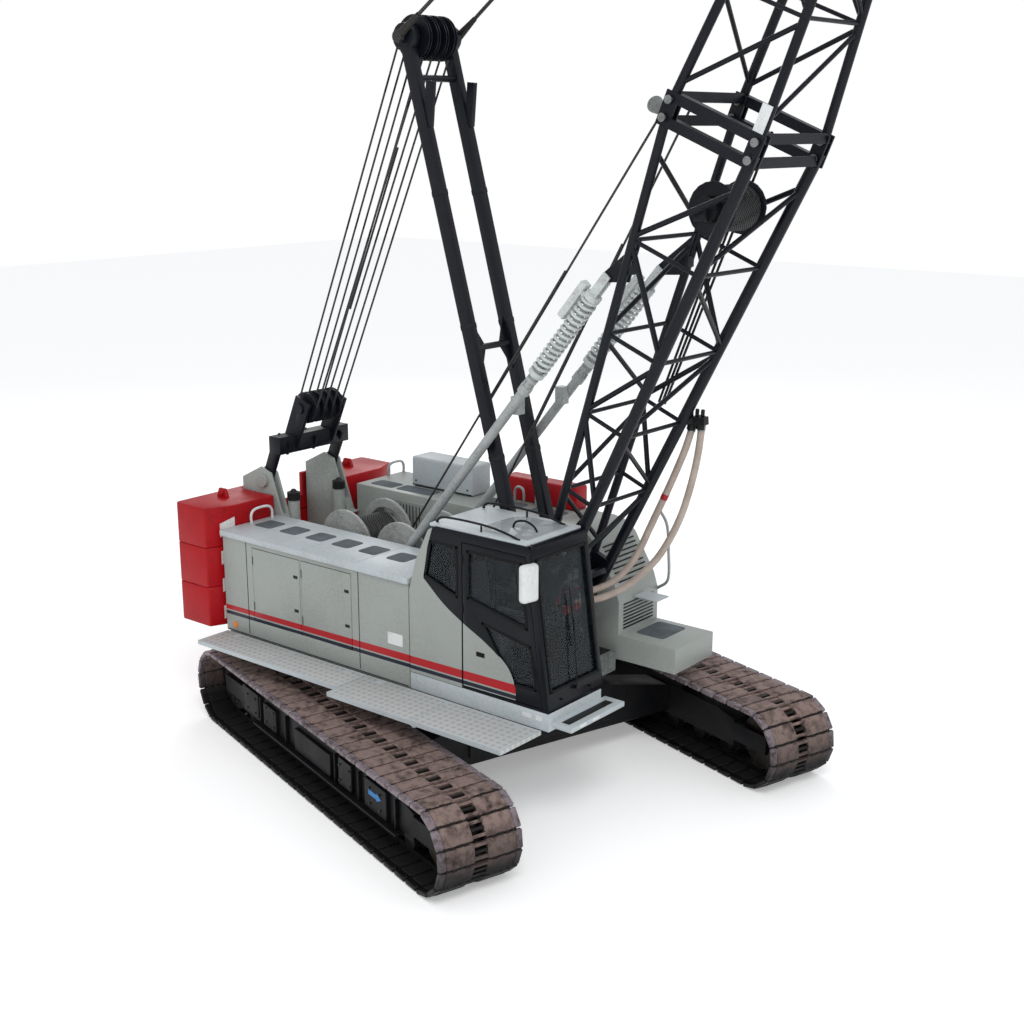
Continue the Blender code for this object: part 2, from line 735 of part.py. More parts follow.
def make_drum(name, x):
    drum = cross_bar(name, x, DRUM_Z, DRUM_HALF_WIDTH, DRUM_CORE_RADIUS, GREY, 24)
    for side in (-1, 1):
        low, high = sorted((side * (DRUM_HALF_WIDTH - 0.035), side * DRUM_HALF_WIDTH))
        flange = rod(name + "_flange", (x, low, DRUM_Z), (x, high, DRUM_Z), DRUM_FLANGE_RADIUS, GREY, 28)
        join(drum, flange)
    bore = cross_bar(name + "_bore", x, DRUM_Z, 1.0, SHAFT_RADIUS + SHAFT_CLEARANCE)
    return move_origin(cut(drum, bore), (x, 0, DRUM_Z))


# ---------------------------------------------------------------- cab
def screen_x(z):
    """How far ahead the raked front of the cab is at a height."""
    (low_x, low_z), (high_x, high_z) = WINDSCREEN_FOOT, WINDSCREEN_HEAD
    return low_x + (high_x - low_x) * (z - low_z) / (high_z - low_z)


def cab_outline(inset):
    roof = 3.150 - inset
    return [
        (inset, CAB_FLOOR_Z + inset),
        (WINDSCREEN_FOOT[0] - inset, CAB_FLOOR_Z + inset),
        (screen_x(1.46) - inset, 1.46 + inset),
        (screen_x(3.10) - inset * 1.1, 3.10 - inset),
        (1.66 - inset, roof),
        (0.40 + inset, roof),
        (0.27 + inset, 3.06 - inset * 0.6),
        (0.08 + inset, 2.62),
        (inset, 2.36),
    ]


def make_cab():
    base = box(
        "cab_base",
        (0.0, CAB_OUTER_Y, SIDE_BOTTOM),
        (1.95, -DECK_HALF_WIDTH - TOUCH_GAP, CAB_FLOOR_Z - TOUCH_GAP),
        GREY,
    )
    hollow = box(
        "hollow", (0.05, CAB_OUTER_Y + 0.05, SIDE_BOTTOM - 0.1), (1.90, CAB_INNER_Y - 0.09, CAB_FLOOR_Z - 0.05)
    )
    cut(base, hollow)
    step = box("step", (1.94, CAB_OUTER_Y + 0.06, 1.235), (2.20, CAB_INNER_Y + 0.05, 1.290), GREY)
    join(base, step)
    shell = plate("cab_shell", cab_outline(0), CAB_OUTER_Y, CAB_INNER_Y, BLACK)
    inside = plate("inside", cab_outline(CAB_WALL), CAB_OUTER_Y + CAB_WALL, CAB_INNER_Y - CAB_WALL)
    cut(shell, inside)
    outer = (CAB_OUTER_Y - 0.1, CAB_OUTER_Y + 0.1)
    cut(shell, plate("doorway", door_outline(0), *outer))
    quarter = plate("quarter", QUARTER_WINDOW, *outer)
    left = plate("left", LEFT_WINDOW, CAB_INNER_Y - 0.1, CAB_INNER_Y + 0.1)
    screen = box("screen", (screen_x(3.0) - 0.10, SCREEN_Y[0], SCREEN_Z[0]), (2.2, SCREEN_Y[1], SCREEN_Z[1]))
    skylight = box("skylight", (SKYLIGHT[0], SKYLIGHT[2], 3.0), (SKYLIGHT[1], SKYLIGHT[3], 3.3))
    cut(shell, quarter, left, screen, skylight)
    mirror = box("mirror", (1.80, -1.78, 2.66), (1.83, -1.62, 3.02), BLACK)
    route = [(1.815, -1.70, 2.92), (1.80, -1.62, 3.16), (1.74, -1.56, 3.19), (1.66, -1.48, 3.13)]
    join(shell, mirror, tube("arm", route, 0.014, BLACK, 1))
    return base, shell


def door_outline(inset):
    head = 3.045 - inset
    foot = CAB_FLOOR_Z + 0.030 + inset
    return [
        (DOOR_REAR_X + inset, foot),
        (screen_x(foot) - 0.075 - inset, foot),
        (screen_x(head) - 0.075 - inset, head),
        (DOOR_REAR_X + inset, head),
    ]


QUARTER_WINDOW = [(0.24, 2.58), (0.70, 2.42), (0.70, 2.97), (0.33, 2.97)]
LEFT_WINDOW = [(0.35, 1.95), (1.72, 1.95), (1.60, 2.95), (0.45, 2.95)]
UPPER_DOOR_WINDOW = [(0.86, 2.44), (1.655, 2.27), (1.575, 2.955), (0.86, 2.955)]
LOWER_DOOR_WINDOW = [(1.06, 2.20), (1.44, 1.62), (1.775, 1.62), (1.70, 2.08)]
SCREEN_Y = (-1.455, -0.640)
SCREEN_Z = (1.620, 3.000)
SKYLIGHT = (0.98, 1.58, -1.43, -0.67)
GLASS_THICKNESS = 0.008
GLASS_GAP = 0.002


def pane(name, outline, y, inset):
    """A flat pane that fills a window drawn in the XZ plane."""
    middle_x = sum(x for x, z in outline) / len(outline)
    middle_z = sum(z for x, z in outline) / len(outline)
    smaller = []
    for x, z in outline:
        away = math.hypot(x - middle_x, z - middle_z)
        scale = 1 - inset / away
        smaller.append((middle_x + (x - middle_x) * scale, middle_z + (z - middle_z) * scale))
    return plate(name, smaller, y - GLASS_THICKNESS / 2, y + GLASS_THICKNESS / 2, GLASS)


def make_cab_glass():
    pane("quarter_window", QUARTER_WINDOW, CAB_OUTER_Y + 0.02, 2 * GLASS_GAP)
    pane("left_window", LEFT_WINDOW, CAB_INNER_Y - 0.02, 2 * GLASS_GAP)
    low_z = SCREEN_Z[0] + GLASS_GAP
    high_z = SCREEN_Z[1] - GLASS_GAP
    outline = [
        (screen_x(low_z) - 0.030, low_z),
        (screen_x(low_z) - 0.022, low_z),
        (screen_x(high_z) - 0.022, high_z),
        (screen_x(high_z) - 0.030, high_z),
    ]
    plate("windscreen", outline, SCREEN_Y[0] + GLASS_GAP, SCREEN_Y[1] - GLASS_GAP, GLASS)
    box(
        "roof_window",
        (SKYLIGHT[0] + GLASS_GAP, SKYLIGHT[2] + GLASS_GAP, 3.128),
        (SKYLIGHT[1] - GLASS_GAP, SKYLIGHT[3] - GLASS_GAP, 3.136),
        GLASS,
    )


def make_cab_door():
    thickness = CAB_WALL - 0.006
    door = plate("cab_door", door_outline(0.007), CAB_OUTER_Y, CAB_OUTER_Y + thickness, BLACK)
    outer = (CAB_OUTER_Y - 0.1, CAB_OUTER_Y + 0.1)
    cut(door, plate("upper", UPPER_DOOR_WINDOW, *outer), plate("lower", LOWER_DOOR_WINDOW, *outer))
    pivot = (screen_x(CAB_FLOOR_Z) - 0.080, CAB_OUTER_Y, CAB_FLOOR_Z)
    move_origin(door, pivot)
    for name, outline in (
        ("door_window_upper", UPPER_DOOR_WINDOW),
        ("door_window_lower", LOWER_DOOR_WINDOW),
    ):
        move_origin(pane(name, outline, CAB_OUTER_Y + 0.02, 2 * GLASS_GAP), pivot)


def make_cab_fittings():
    floor = CAB_FLOOR_Z + CAB_WALL + TOUCH_GAP
    middle = (CAB_OUTER_Y + CAB_INNER_Y) / 2
    seat = box("operator_seat", (0.52, middle - 0.25, 1.78), (1.04, middle + 0.25, 1.92), SEAT_FABRIC)
    back = beam("back", (0.56, middle, 1.80), (0.44, middle, 2.62), 0.24, 0.06, SEAT_FABRIC)
    column = box("column", (0.60, middle - 0.15, floor), (0.96, middle + 0.15, 1.80), SEAT_FABRIC)
    join(seat, back, column)
    for side in (-1, 1):
        low, high = sorted((middle + side * 0.24, middle + side * 0.36))
        join(seat, box("console", (0.62, low, 1.84), (1.20, high, 2.08), SEAT_FABRIC))
    return seat


# ---------------------------------------------------------------- walkways
def make_walkways():
    gap = 0.006
    top = WALKWAY_Z
    bottom = top - WALKWAY_THICKNESS
    edge = BODY_HALF_WIDTH + 0.012
    spans = (
        ("walkway_right_rear", -1, HOUSE_REAR + 0.03, WALKWAY_SPLIT_X - gap, WALKWAY_REAR_WIDTH),
        ("walkway_right_front", -1, WALKWAY_SPLIT_X + gap, WALKWAY_FRONT_END_X, WALKWAY_FRONT_WIDTH),
        ("walkway_left", 1, HOUSE_REAR + 0.03, 1.20, WALKWAY_REAR_WIDTH),
    )
    for name, side, rear, front, width in spans:
        low, high = sorted((side * edge, side * (edge + width)))
        deck = box(name, (rear, low, bottom), (front, high, top), GREY)
        count = max(2, round((front - rear) / 0.9))
        for index in range(count):
            x = rear + 0.15 + index * (front - rear - 0.3) / (count - 1)
            low, high = sorted((side * (edge + 0.004), side * (edge + width * 0.8)))
            rib = box(name + "_rib", (x - 0.02, low, bottom - 0.05), (x + 0.02, high, top - 0.01), GREY)
            join(deck, rib)
        move_origin(deck, (0, side * edge, top))


# ---------------------------------------------------------------- boom
def boom_half_depth(u):
    taper = (BOOM_HALF_DEPTH - BOOM_FOOT_HALF_DEPTH) / BOOM_BASE_LENGTH
    return BOOM_FOOT_HALF_DEPTH + taper * u


def boom_half_width(u):
    return FOOT_Y + (BOOM_HALF_WIDTH - FOOT_Y) * u / BOOM_BASE_LENGTH


def top_scale(u):
    start = BOOM_BASE_LENGTH + BOOM_JOINT_GAP
    end = start + BOOM_TOP_LENGTH - HEAD_REACH
    return 1 + (HEAD_SCALE - 1) * (u - start) / (end - start)


def chord_point(u, side, face, section):
    """On a chord's centre line: side is -1 right or 1 left, face is 1 rear or -1 front."""
    if section == "base":
        return along_boom(u, face * boom_half_depth(u), side * boom_half_width(u))
    scale = top_scale(u)
    return along_boom(u, face * BOOM_HALF_DEPTH * scale, side * BOOM_HALF_WIDTH * scale)


def lace(name, section, stations, shape):
    """Zigzag lacing on the four faces of a boom section, with ends a little apart."""
    lift = 0.045
    for index, (low, high) in enumerate(zip(stations, stations[1:])):
        way = 1 if index % 2 == 0 else -1
        for side in (-1, 1):
            start = chord_point(low + lift, side, way, section)
            end = chord_point(high - lift, side, -way, section)
            join(shape, rod(name, start, end, LACING_RADIUS, BLACK, 4))
        for face in (-1, 1):
            start = chord_point(low + 1.6 * lift, way * face, face, section)
            end = chord_point(high - 1.6 * lift, -way * face, face, section)
            join(shape, rod(name, start, end, LACING_RADIUS * 0.9, BLACK, 4))
    return shape


def end_frame(name, section, u, radius, shape):
    """The bars that square a boom section at one station."""
    for side in (-1, 1):
        start = chord_point(u, side, 1, section)
        end = chord_point(u, side, -1, section)
        join(shape, rod(name, start, end, radius, BLACK, 6))
    for face in (-1, 1):
        start = chord_point(u, -1, face, section)
        end = chord_point(u, 1, face, section)
        join(shape, rod(name, start, end, radius, BLACK, 6))
    return shape


def foot_plate(side):
    """The eye and flat cheek that gather a side's two chords at the foot pin."""
    reach = 0.95
    low, high = sorted((side * (FOOT_Y - FOOT_EYE_WIDTH / 2), side * (FOOT_Y + FOOT_EYE_WIDTH / 2)))
    outline = []
    for x, z in arc((0, 0), 0.115, 90, 270, 8):
        outline.append((x, z))
    outline.append((reach, -boom_half_depth(reach)))
    outline.append((reach, boom_half_depth(reach)))
    placed = []
    for u, v in outline:
        x, _, z = along_boom(u, v, 0)
        placed.append((x, z))
    return plate("foot_plate", placed, low, high, BLACK)


def make_boom_base():
    pieces = []
    for side in (-1, 1):
        for face, radius in ((1, REAR_CHORD_RADIUS), (-1, FRONT_CHORD_RADIUS)):
            start = chord_point(0.62, side, face, "base")
            end = chord_point(BOOM_BASE_LENGTH, side, face, "base")
            pieces.append(rod("chord", start, end, radius, BLACK, 8))
    base = pieces[0]
    base.name = "boom_base"
    hose_bar = along_boom(0.50, 0, 0)
    pieces.append(cross_bar("hose_bar", hose_bar[0], hose_bar[2], FOOT_Y, 0.035, BLACK, 8))
    for side in (-1, 1):
        pieces.append(foot_plate(side))
    end_frame("end_bar", "base", BOOM_BASE_LENGTH - 0.11, 0.050, base)
    join(base, *pieces[1:])
    end_frame("foot_bar", "base", 0.82, 0.040, base)
    lace("lacing", "base", (1.0, 1.95, 2.85, 3.75, 4.75, 5.70), base)
    for side in (-1, 1):
        eye = (BACKSTOP_EYE_X, BACKSTOP_EYE_Z)
        root_low = chord_point(4.30, side, 1, "base")
        root_high = chord_point(4.75, side, 1, "base")
        outline = [(eye[0] - 0.05, eye[1] + 0.02), (eye[0] - 0.01, eye[1] - 0.05)]
        outline += [(root_low[0] + 0.03, root_low[2]), (root_high[0] + 0.03, root_high[2])]
        low, high = sorted((side * (BACKSTOP_Y - 0.014), side * (BACKSTOP_Y + 0.014)))
        lug = plate("backstop_lug", outline, low, high, BLACK)
        low, high = sorted((side * (BACKSTOP_Y - 0.014), side * boom_half_width(4.5)))
        tie = box(
            "lug_tie",
            (root_low[0] - 0.03, low, root_low[2] + 0.08),
            (root_low[0] + 0.10, high, root_low[2] + 0.20),
            BLACK,
        )
        join(lug, tie)
        join(base, lug)
        bore = rod(
            "foot_bore",
            (FOOT_X, min(side * 0.3, side * 0.6), FOOT_Z),
            (FOOT_X, max(side * 0.3, side * 0.6), FOOT_Z),
            FOOT_BORE_RADIUS,
            BLACK,
        )
        cut(base, bore)
    return move_origin(base, (FOOT_X, 0, FOOT_Z))


def head_centre():
    return BOOM_BASE_LENGTH + BOOM_JOINT_GAP + BOOM_TOP_LENGTH


def make_boom_top():
    first = BOOM_BASE_LENGTH + BOOM_JOINT_GAP
    last = head_centre() - HEAD_REACH
    pieces = []
    for side in (-1, 1):
        for face in (1, -1):
            start = chord_point(first, side, face, "top")
            end = chord_point(last, side, face, "top")
            pieces.append(rod("chord", start, end, REAR_CHORD_RADIUS, BLACK, 8))
    top = pieces[0]
    top.name = "boom_top"
    end_frame("end_bar", "top", first + 0.11, 0.050, top)
    join(top, *pieces[1:])
    end_frame("head_bar", "top", last - 0.05, 0.040, top)
    stations = [first + 0.20]
    while stations[-1] < last - 0.55:
        stations.append(stations[-1] + 0.30 + 0.72 * top_scale(stations[-1]))
    stations[-1] = last - 0.10
    lace("lacing", "top", stations, top)
    for side in (-1, 1):
        low, high = sorted((side * 0.165, side * 0.195))
        outline = []
        for u, v in (
            (last - 0.55, -0.10),
            (head_centre() + 0.02, -0.12),
            (head_centre() + 0.12, 0.0),
            (head_centre() + 0.02, 0.12),
            (last - 0.55, 0.10),
        ):
            x, _, z = along_boom(u, v, 0)
            outline.append((x, z))
        join(top, plate("head_plate", outline, low, high, BLACK))
    x, _, z = along_boom(head_centre(), 0, 0)
    join(top, cross_bar("head_shaft", x, z, 0.205, 0.05, BLACK, 12))
    for y in (-SHEAVE_SPACING / 2, SHEAVE_SPACING / 2):
        sheave = rod("sheave", (x, y - 0.03, z), (x, y + 0.03, z), SHEAVE_RADIUS, BLACK, 24)
        join(top, sheave)
    return move_origin(top, (FOOT_X, 0, FOOT_Z))


def make_boom_winch():
    """The third winch, in the boom's base section near its upper end."""
    u = 5.30
    v = -0.12
    x, _, z = along_boom(u, v, 0)
    winch = cross_bar("boom_winch", x, z, 0.30, 0.21, BLACK, 20)
    for side in (-1, 1):
        low, high = sorted((side * 0.27, side * 0.30))
        join(winch, rod("flange", (x, low, z), (x, high, z), 0.27, BLACK, 20))
    low_corner = along_boom(u, v, 0)
    carrier = beam(
        "carrier", along_boom(u - 0.05, v, -0.50), along_boom(u - 0.05, v, 0.50), 0.06, 0.06, BLACK
    )
    join(winch, carrier)
    return move_origin(winch, low_corner)


def make_hook_block():
    """Two parts of line over the head sheaves, the block under them and its hook."""
    x, _, z = along_boom(head_centre(), 0, 0)
    hang = x + SHEAVE_RADIUS + 0.018
    drop = 1.55
    yoke_half = 0.10
    low = z - drop
    block = rod("hook_block", (hang - 0.03, 0, low), (hang + 0.03, 0, low), 0.16, BLACK, 20)
    for side in (-1, 1):
        cheek = plate(
            "cheek",
            [(-0.13, low + 0.20), (-0.20, low - 0.10), (-0.12, low - 0.42), (0.12, low - 0.42),
             (0.20, low - 0.10), (0.13, low + 0.20)],
            min(hang + side * 0.028, hang + side * 0.06),
            max(hang + side * 0.028, hang + side * 0.06),
            BLACK,
            plane="YZ",
        )
        join(block, cheek)
        line = rod(
            "fall",
            (hang, side * SHEAVE_SPACING / 2, low),
            (hang, side * SHEAVE_SPACING / 2, z),
            ROPE_RADIUS,
            ROPE_STEEL,
            8,
        )
        join(block, line)
    spindle = rod("spindle", (hang, 0, low - 0.62), (hang, 0, low - 0.30), 0.045, BLACK, 12)
    join(block, spindle, box("yoke", (hang - 0.05, -yoke_half, low - 0.40), (hang + 0.05, yoke_half, low - 0.30)))
    points = [(hang, 0.0, low - 0.56)]
    for y, height in arc((0.0, low - 0.76), 0.13, 90, -130, 10):
        points.append((hang, y, height))
    join(block, tube("hook", points, 0.038, BLACK, 1))
    return move_origin(block, (x, 0, z))


# ---------------------------------------------------------------- mast and its rigging
def make_mast():
    legs = []
    for side in (-1, 1):
        start = along_mast(0.0, 0, side * MAST_FOOT_Y)
        end = along_mast(MAST_LENGTH, 0, side * MAST_HEAD_Y)
        legs.append(beam("leg", start, end, MAST_LEG_HALF, 0.07, BLACK))
    mast = legs[0]
    mast.name = "mast"
    head = along_mast(MAST_LENGTH, 0, 0)
    join(mast, cross_bar("head_shaft", head[0], head[2], 0.44, 0.06, BLACK, 12))
    for d in (0.95, 3.35, MAST_LENGTH - 0.45):
        place = along_mast(d, 0, 0)
        join(mast, cross_bar("tie", place[0], place[2], 0.335, 0.038, BLACK, 8))
    join(mast, legs[1])
    for side in (-1, 1):
        low, high = sorted((side * (MAST_FOOT_Y - MAST_LEG_HALF), side * (MAST_FOOT_Y + MAST_LEG_HALF)))
        eye = rod("eye", (FOOT_X, low, FOOT_Z), (FOOT_X, high, FOOT_Z), 0.105, BLACK)
        join(mast, eye)
        low, high = sorted((side * (MAST_HEAD_Y - 0.06), side * (MAST_HEAD_Y + 0.06)))
        cap = rod("cap", (head[0], low, head[2]), (head[0], high, head[2]), 0.15, BLACK)
        join(mast, cap)
        bracket = beam(
            "bracket",
            along_mast(MAST_LENGTH - 1.0, -0.05, side * MAST_HEAD_Y),
            along_mast(MAST_LENGTH - 0.55, -0.22, side * MAST_HEAD_Y),
            0.03,
            0.05,
            BLACK,
        )
        join(mast, bracket)
    for y in (-0.21, -0.07, 0.07, 0.21):
        low = (head[0], y - 0.022, head[2])
        high = (head[0], y + 0.022, head[2])
        join(mast, rod("sheave", low, high, MAST_SHEAVE_RADIUS, BLACK, 16))
    for side in (-1, 1):
        low, high = sorted((side * 0.2, side * 0.6))
        cut(mast, rod("bore", (FOOT_X, low, FOOT_Z), (FOOT_X, high, FOOT_Z), FOOT_BORE_RADIUS))
    return move_origin(mast, (FOOT_X, 0, FOOT_Z))


def make_pendants():
    """The stays from the mast's head to the boom's head, tied by a spreader."""
    start = Vector(along_mast(MAST_LENGTH, 0, 0))
    end = Vector(along_boom(head_centre(), 0, 0))
    way = (end - start).normalized()
    stays = []
    for side in (-1, 1):
        first = start + way * 0.02 + Vector((0, side * 0.475, 0))
        last = end - way * 0.10 + Vector((0, side * 0.235, 0))
        stays.append(rod("stay", first, last, 0.022, ROPE_STEEL, 8))
    pendants = stays[0]
    pendants.name = "pendants"
    spread = end - way * 1.30
    bar = cross_bar("spreader", spread.x, spread.z, 0.30, 0.030, BLACK, 8)
    join(pendants, bar, stays[1])
    for side in (-1, 1):
        low, high = sorted((side * 0.450, side * 0.500))
        eye = rod("eye", (start.x, low, start.z), (start.x, high, start.z), 0.07, BLACK, 12)
        join(pendants, eye)
        low, high = sorted((side * 0.215, side * 0.255))
        tip = end - way * 0.10
        eye = rod("eye", (tip.x, low, tip.z), (tip.x, high, tip.z), 0.06, BLACK, 12)
        join(pendants, eye)
    return move_origin(pendants, (start.x, 0, start.z))


def bail_way():
    head = along_mast(MAST_LENGTH, 0, 0)
    return Vector((head[0] - GANTRY_PIN_X, 0, head[2] - GANTRY_PIN_Z)).normalized()


def bail_point(reach, y, lift=0.0):
    way = bail_way()
    across = Vector((-way.z, 0, way.x))
    place = Vector((GANTRY_PIN_X, y, GANTRY_PIN_Z)) + way * reach + across * lift
    return tuple(place)


def make_bail():
    """The sheave block of the boom hoist on its two links."""
    bail = beam("bail", bail_point(0.52, -0.60), bail_point(0.52, 0.60), 0.10, 0.11, BLACK)
    for side in (-1, 1):
        link = beam("link", bail_point(-0.02, side * GANTRY_Y), bail_point(0.55, side * GANTRY_Y), 0.028, 0.075,
                    BLACK)
        eye_low, eye_high = sorted((side * (GANTRY_Y - 0.028), side * (GANTRY_Y + 0.028)))
        eye = rod(
            "eye", (GANTRY_PIN_X, eye_low, GANTRY_PIN_Z), (GANTRY_PIN_X, eye_high, GANTRY_PIN_Z), 0.10, BLACK
        )
        join(bail, link, eye)
        cheek = beam(
            "cheek", bail_point(0.50, side * 0.31), bail_point(BAIL_REACH + 0.12, side * 0.31), 0.022, 0.13, BLACK
        )
        join(bail, cheek)
        low, high = sorted((side * 0.4, side * 0.7))
        bore = rod("bore", (GANTRY_PIN_X, low, GANTRY_PIN_Z), (GANTRY_PIN_X, high, GANTRY_PIN_Z), 0.052)
        cut(bail, bore)
    centre = bail_point(BAIL_REACH, 0)
    join(bail, cross_bar("shaft", centre[0], centre[2], 0.34, 0.05, BLACK, 12))
    for y in (-0.21, -0.07, 0.07, 0.21):
        low = (centre[0], y - 0.03, centre[2])
        high = (centre[0], y + 0.03, centre[2])
        join(bail, rod("sheave", low, high, 0.19, BLACK, 20))
    return move_origin(bail, (GANTRY_PIN_X, 0, GANTRY_PIN_Z))


def make_boom_hoist_ropes():
    """The hoist rope between mast and bail, in parts that slide past each other."""
    head = Vector(along_mast(MAST_LENGTH, 0, 0))
    way = -bail_way()
    upper = rod("boom_hoist_rope_upper", head + way * 0.26, head + way * 3.45, ROPE_RADIUS, ROPE_STEEL, 8)
    move_origin(upper, head)
    shift = Vector((0, 0.045, 0))
    middle = rod(
        "boom_hoist_rope_middle", head + way * 1.30 + shift, head + way * 3.42 + shift, ROPE_RADIUS, ROPE_STEEL, 8
    )
    return upper, move_origin(middle, head)


# ---------------------------------------------------------------- backstops
def backstop_point(distance, y):
    foot = Vector((BACKSTOP_FOOT_X, y, BACKSTOP_FOOT_Z))
    eye = Vector((BACKSTOP_EYE_X, y, BACKSTOP_EYE_Z))
    return tuple(foot + (eye - foot).normalized() * distance)


def backstop_length():
    return math.hypot(BACKSTOP_EYE_X - BACKSTOP_FOOT_X, BACKSTOP_EYE_Z - BACKSTOP_FOOT_Z)


def make_backstops():
    length = backstop_length()
    for side, label in ((-1, "right"), (1, "left")):
        y = side * BACKSTOP_Y
        tube_end = BACKSTOP_TUBE_LENGTH
        barrel = rod(
            "backstop_tube_" + label, backstop_point(0.10, y), backstop_point(tube_end, y),
            BACKSTOP_TUBE_RADIUS, LIGHT_GREY, 12,
        )
        eye = rod(
            "eye",
            (BACKSTOP_FOOT_X, y - 0.03, BACKSTOP_FOOT_Z),
            (BACKSTOP_FOOT_X, y + 0.03, BACKSTOP_FOOT_Z),
            0.075,
            LIGHT_GREY,
            12,
        )
        neck = beam("neck", backstop_point(0.0, y), backstop_point(0.2, y), 0.03, 0.045, LIGHT_GREY)
        join(barrel, eye, neck)
        bore = rod(
            "bore", backstop_point(0.35, y), backstop_point(tube_end + 0.1, y), BACKSTOP_BORE_RADIUS, sides=12
        )
        hole = rod(
            "hole", (BACKSTOP_FOOT_X, y - 1, BACKSTOP_FOOT_Z), (BACKSTOP_FOOT_X, y + 1, BACKSTOP_FOOT_Z), 0.032
        )
        cut(barrel, bore, hole)
        move_origin(barrel, (BACKSTOP_FOOT_X, y, BACKSTOP_FOOT_Z))

        fork_bottom = length - 0.24
        slider = rod(
            "backstop_rod_" + label,
            backstop_point(length - BACKSTOP_ROD_LENGTH, y),
            backstop_point(fork_bottom, y),
            BACKSTOP_ROD_RADIUS,
            LIGHT_GREY,
            12,
        )
        seat = rod("seat", backstop_point(fork_bottom - 0.06, y), backstop_point(fork_bottom, y),
                   SPRING_RADIUS, LIGHT_GREY, 16)
        sleeve = rod(
            "sleeve",
            backstop_point(fork_bottom - 0.03 - SPRING_LENGTH, y),
            backstop_point(fork_bottom - 0.03, y),
            SPRING_RADIUS - 0.002,
            LIGHT_GREY,
            16,
        )
        room = rod(
            "room",
            backstop_point(fork_bottom - 0.1 - SPRING_LENGTH, y),
            backstop_point(fork_bottom - 0.055, y),
            SPRING_BORE_RADIUS,
            sides=16,
        )
        cut(sleeve, room)
        join(slider, seat, sleeve)
        for cheek in (-1, 1):
            low, high = sorted((y + cheek * 0.026, y + cheek * 0.046))
            finger = beam(
                "finger",
                backstop_point(fork_bottom - 0.02, (low + high) / 2),
                backstop_point(length + 0.05, (low + high) / 2),
                0.010,
                0.045,
                LIGHT_GREY,
            )
            join(slider, finger)
        move_origin(slider, (BACKSTOP_FOOT_X, y, BACKSTOP_FOOT_Z))


# ---------------------------------------------------------------- hoist lines and hoses
GUIDE_U = 6.00
GUIDE_V = 0.72
LINE_SPAN = 4.30


def make_hoist_lines():
    """Each line in two halves: one turns about its drum and one about the boom's guide."""
    guide = along_boom(GUIDE_U, GUIDE_V, 0)
    for label, drum_x, start_y, end_y in (
        ("rear", REAR_DRUM_X, -0.02, -0.40),
        ("front", FRONT_DRUM_X, 0.14, 0.06),
    ):
        slope = math.atan2(guide[2] - DRUM_Z, guide[0] - drum_x)
        reach = DRUM_CORE_RADIUS + 0.02
        start = Vector((drum_x - reach * math.sin(slope), start_y, DRUM_Z + reach * math.cos(slope)))
        end = Vector((guide[0], end_y, guide[2]))
        way = (end - start).normalized()
        lower = rod(
            "line_" + label + "_lower", start + way * 0.02, start + way * LINE_SPAN, ROPE_RADIUS, ROPE_STEEL, 8
        )
        move_origin(lower, (drum_x, 0, DRUM_Z))
        shift = Vector((0, 0.035, 0))
        upper = rod(
            "line_" + label + "_upper",
            end - way * LINE_SPAN + shift,
            end - way * 0.02 + shift,
            ROPE_RADIUS,
            ROPE_STEEL,
            8,
        )
        move_origin(upper, end)


HOSE_RADIUS = 0.040
HOSE_ROUTES = {
    "boom_hose_1": [
        (2.215, 0.655, 4.130),
        (2.130, 0.668, 3.880),
        (2.020, 0.675, 3.620),
        (1.900, 0.675, 3.350),
        (1.780, 0.670, 3.090),
        (1.670, 0.655, 2.840),
        (1.580, 0.620, 2.610),
        (1.490, 0.550, 2.420),
        (1.390, 0.450, 2.270),
        (1.270, 0.330, 2.180),
        (1.170, 0.200, 2.140),
        (1.105, 0.100, 2.125),
    ],
    "boom_hose_2": [
        (2.330, 0.655, 4.150),
        (2.285, 0.690, 3.900),
        (2.225, 0.715, 3.640),
        (2.150, 0.730, 3.370),
        (2.060, 0.730, 3.090),
        (1.940, 0.710, 2.810),
        (1.800, 0.660, 2.550),
        (1.640, 0.590, 2.350),
        (1.480, 0.470, 2.180),
        (1.320, 0.300, 2.080),
        (1.190, 0.130, 2.050),
        (1.105, 0.000, 2.050),
    ],
}


def smooth_route(points, spacing):
    """Points on a Catmull-Rom curve through a route."""
    route = [Vector(p) for p in points]
    ends = [2 * route[0] - route[1]] + route + [2 * route[-1] - route[-2]]
    result = []
    for before, start, end, after in zip(ends, ends[1:], ends[2:], ends[3:]):
        count = max(1, round((end - start).length / spacing))
        for step in range(count):
            t = step / count
            result.append(
                0.5
                * (
                    2 * start
                    + (end - before) * t
                    + (2 * before - 5 * start + 4 * end - after) * t**2
                    + (3 * start - before - 3 * end + after) * t**3
                )
            )
    result.append(route[-1])
    return [tuple(p) for p in result]


def make_hoses():
    for name, route in HOSE_ROUTES.items():
        hose = tube(name, smooth_route(route, 0.13), HOSE_RADIUS, HOSE_SLEEVE, 2)
        move_origin(hose, (FOOT_X, 0, FOOT_Z))


# ---------------------------------------------------------------- the whole machine
make_crawlers()
make_carbody()
make_revolving_frame()
make_gantry()
make_counterweight()
make_houses()
make_left_front()
make_drum("boom_hoist_drum", HOIST_DRUM_X)
make_drum("rear_drum", REAR_DRUM_X)
make_drum("front_drum", FRONT_DRUM_X)
make_cab()
make_cab_glass()
make_cab_door()
make_cab_fittings()
make_walkways()
make_boom_base()
make_boom_top()
make_boom_winch()
make_hook_block()
make_mast()
make_pendants()
make_bail()
make_boom_hoist_ropes()
make_backstops()
make_hoist_lines()
make_hoses()
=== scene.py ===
"""Looks of the crawler crane: its finishes and its finer pieces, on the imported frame."""

import math

import bmesh
import bpy
from mathutils import Matrix, Vector


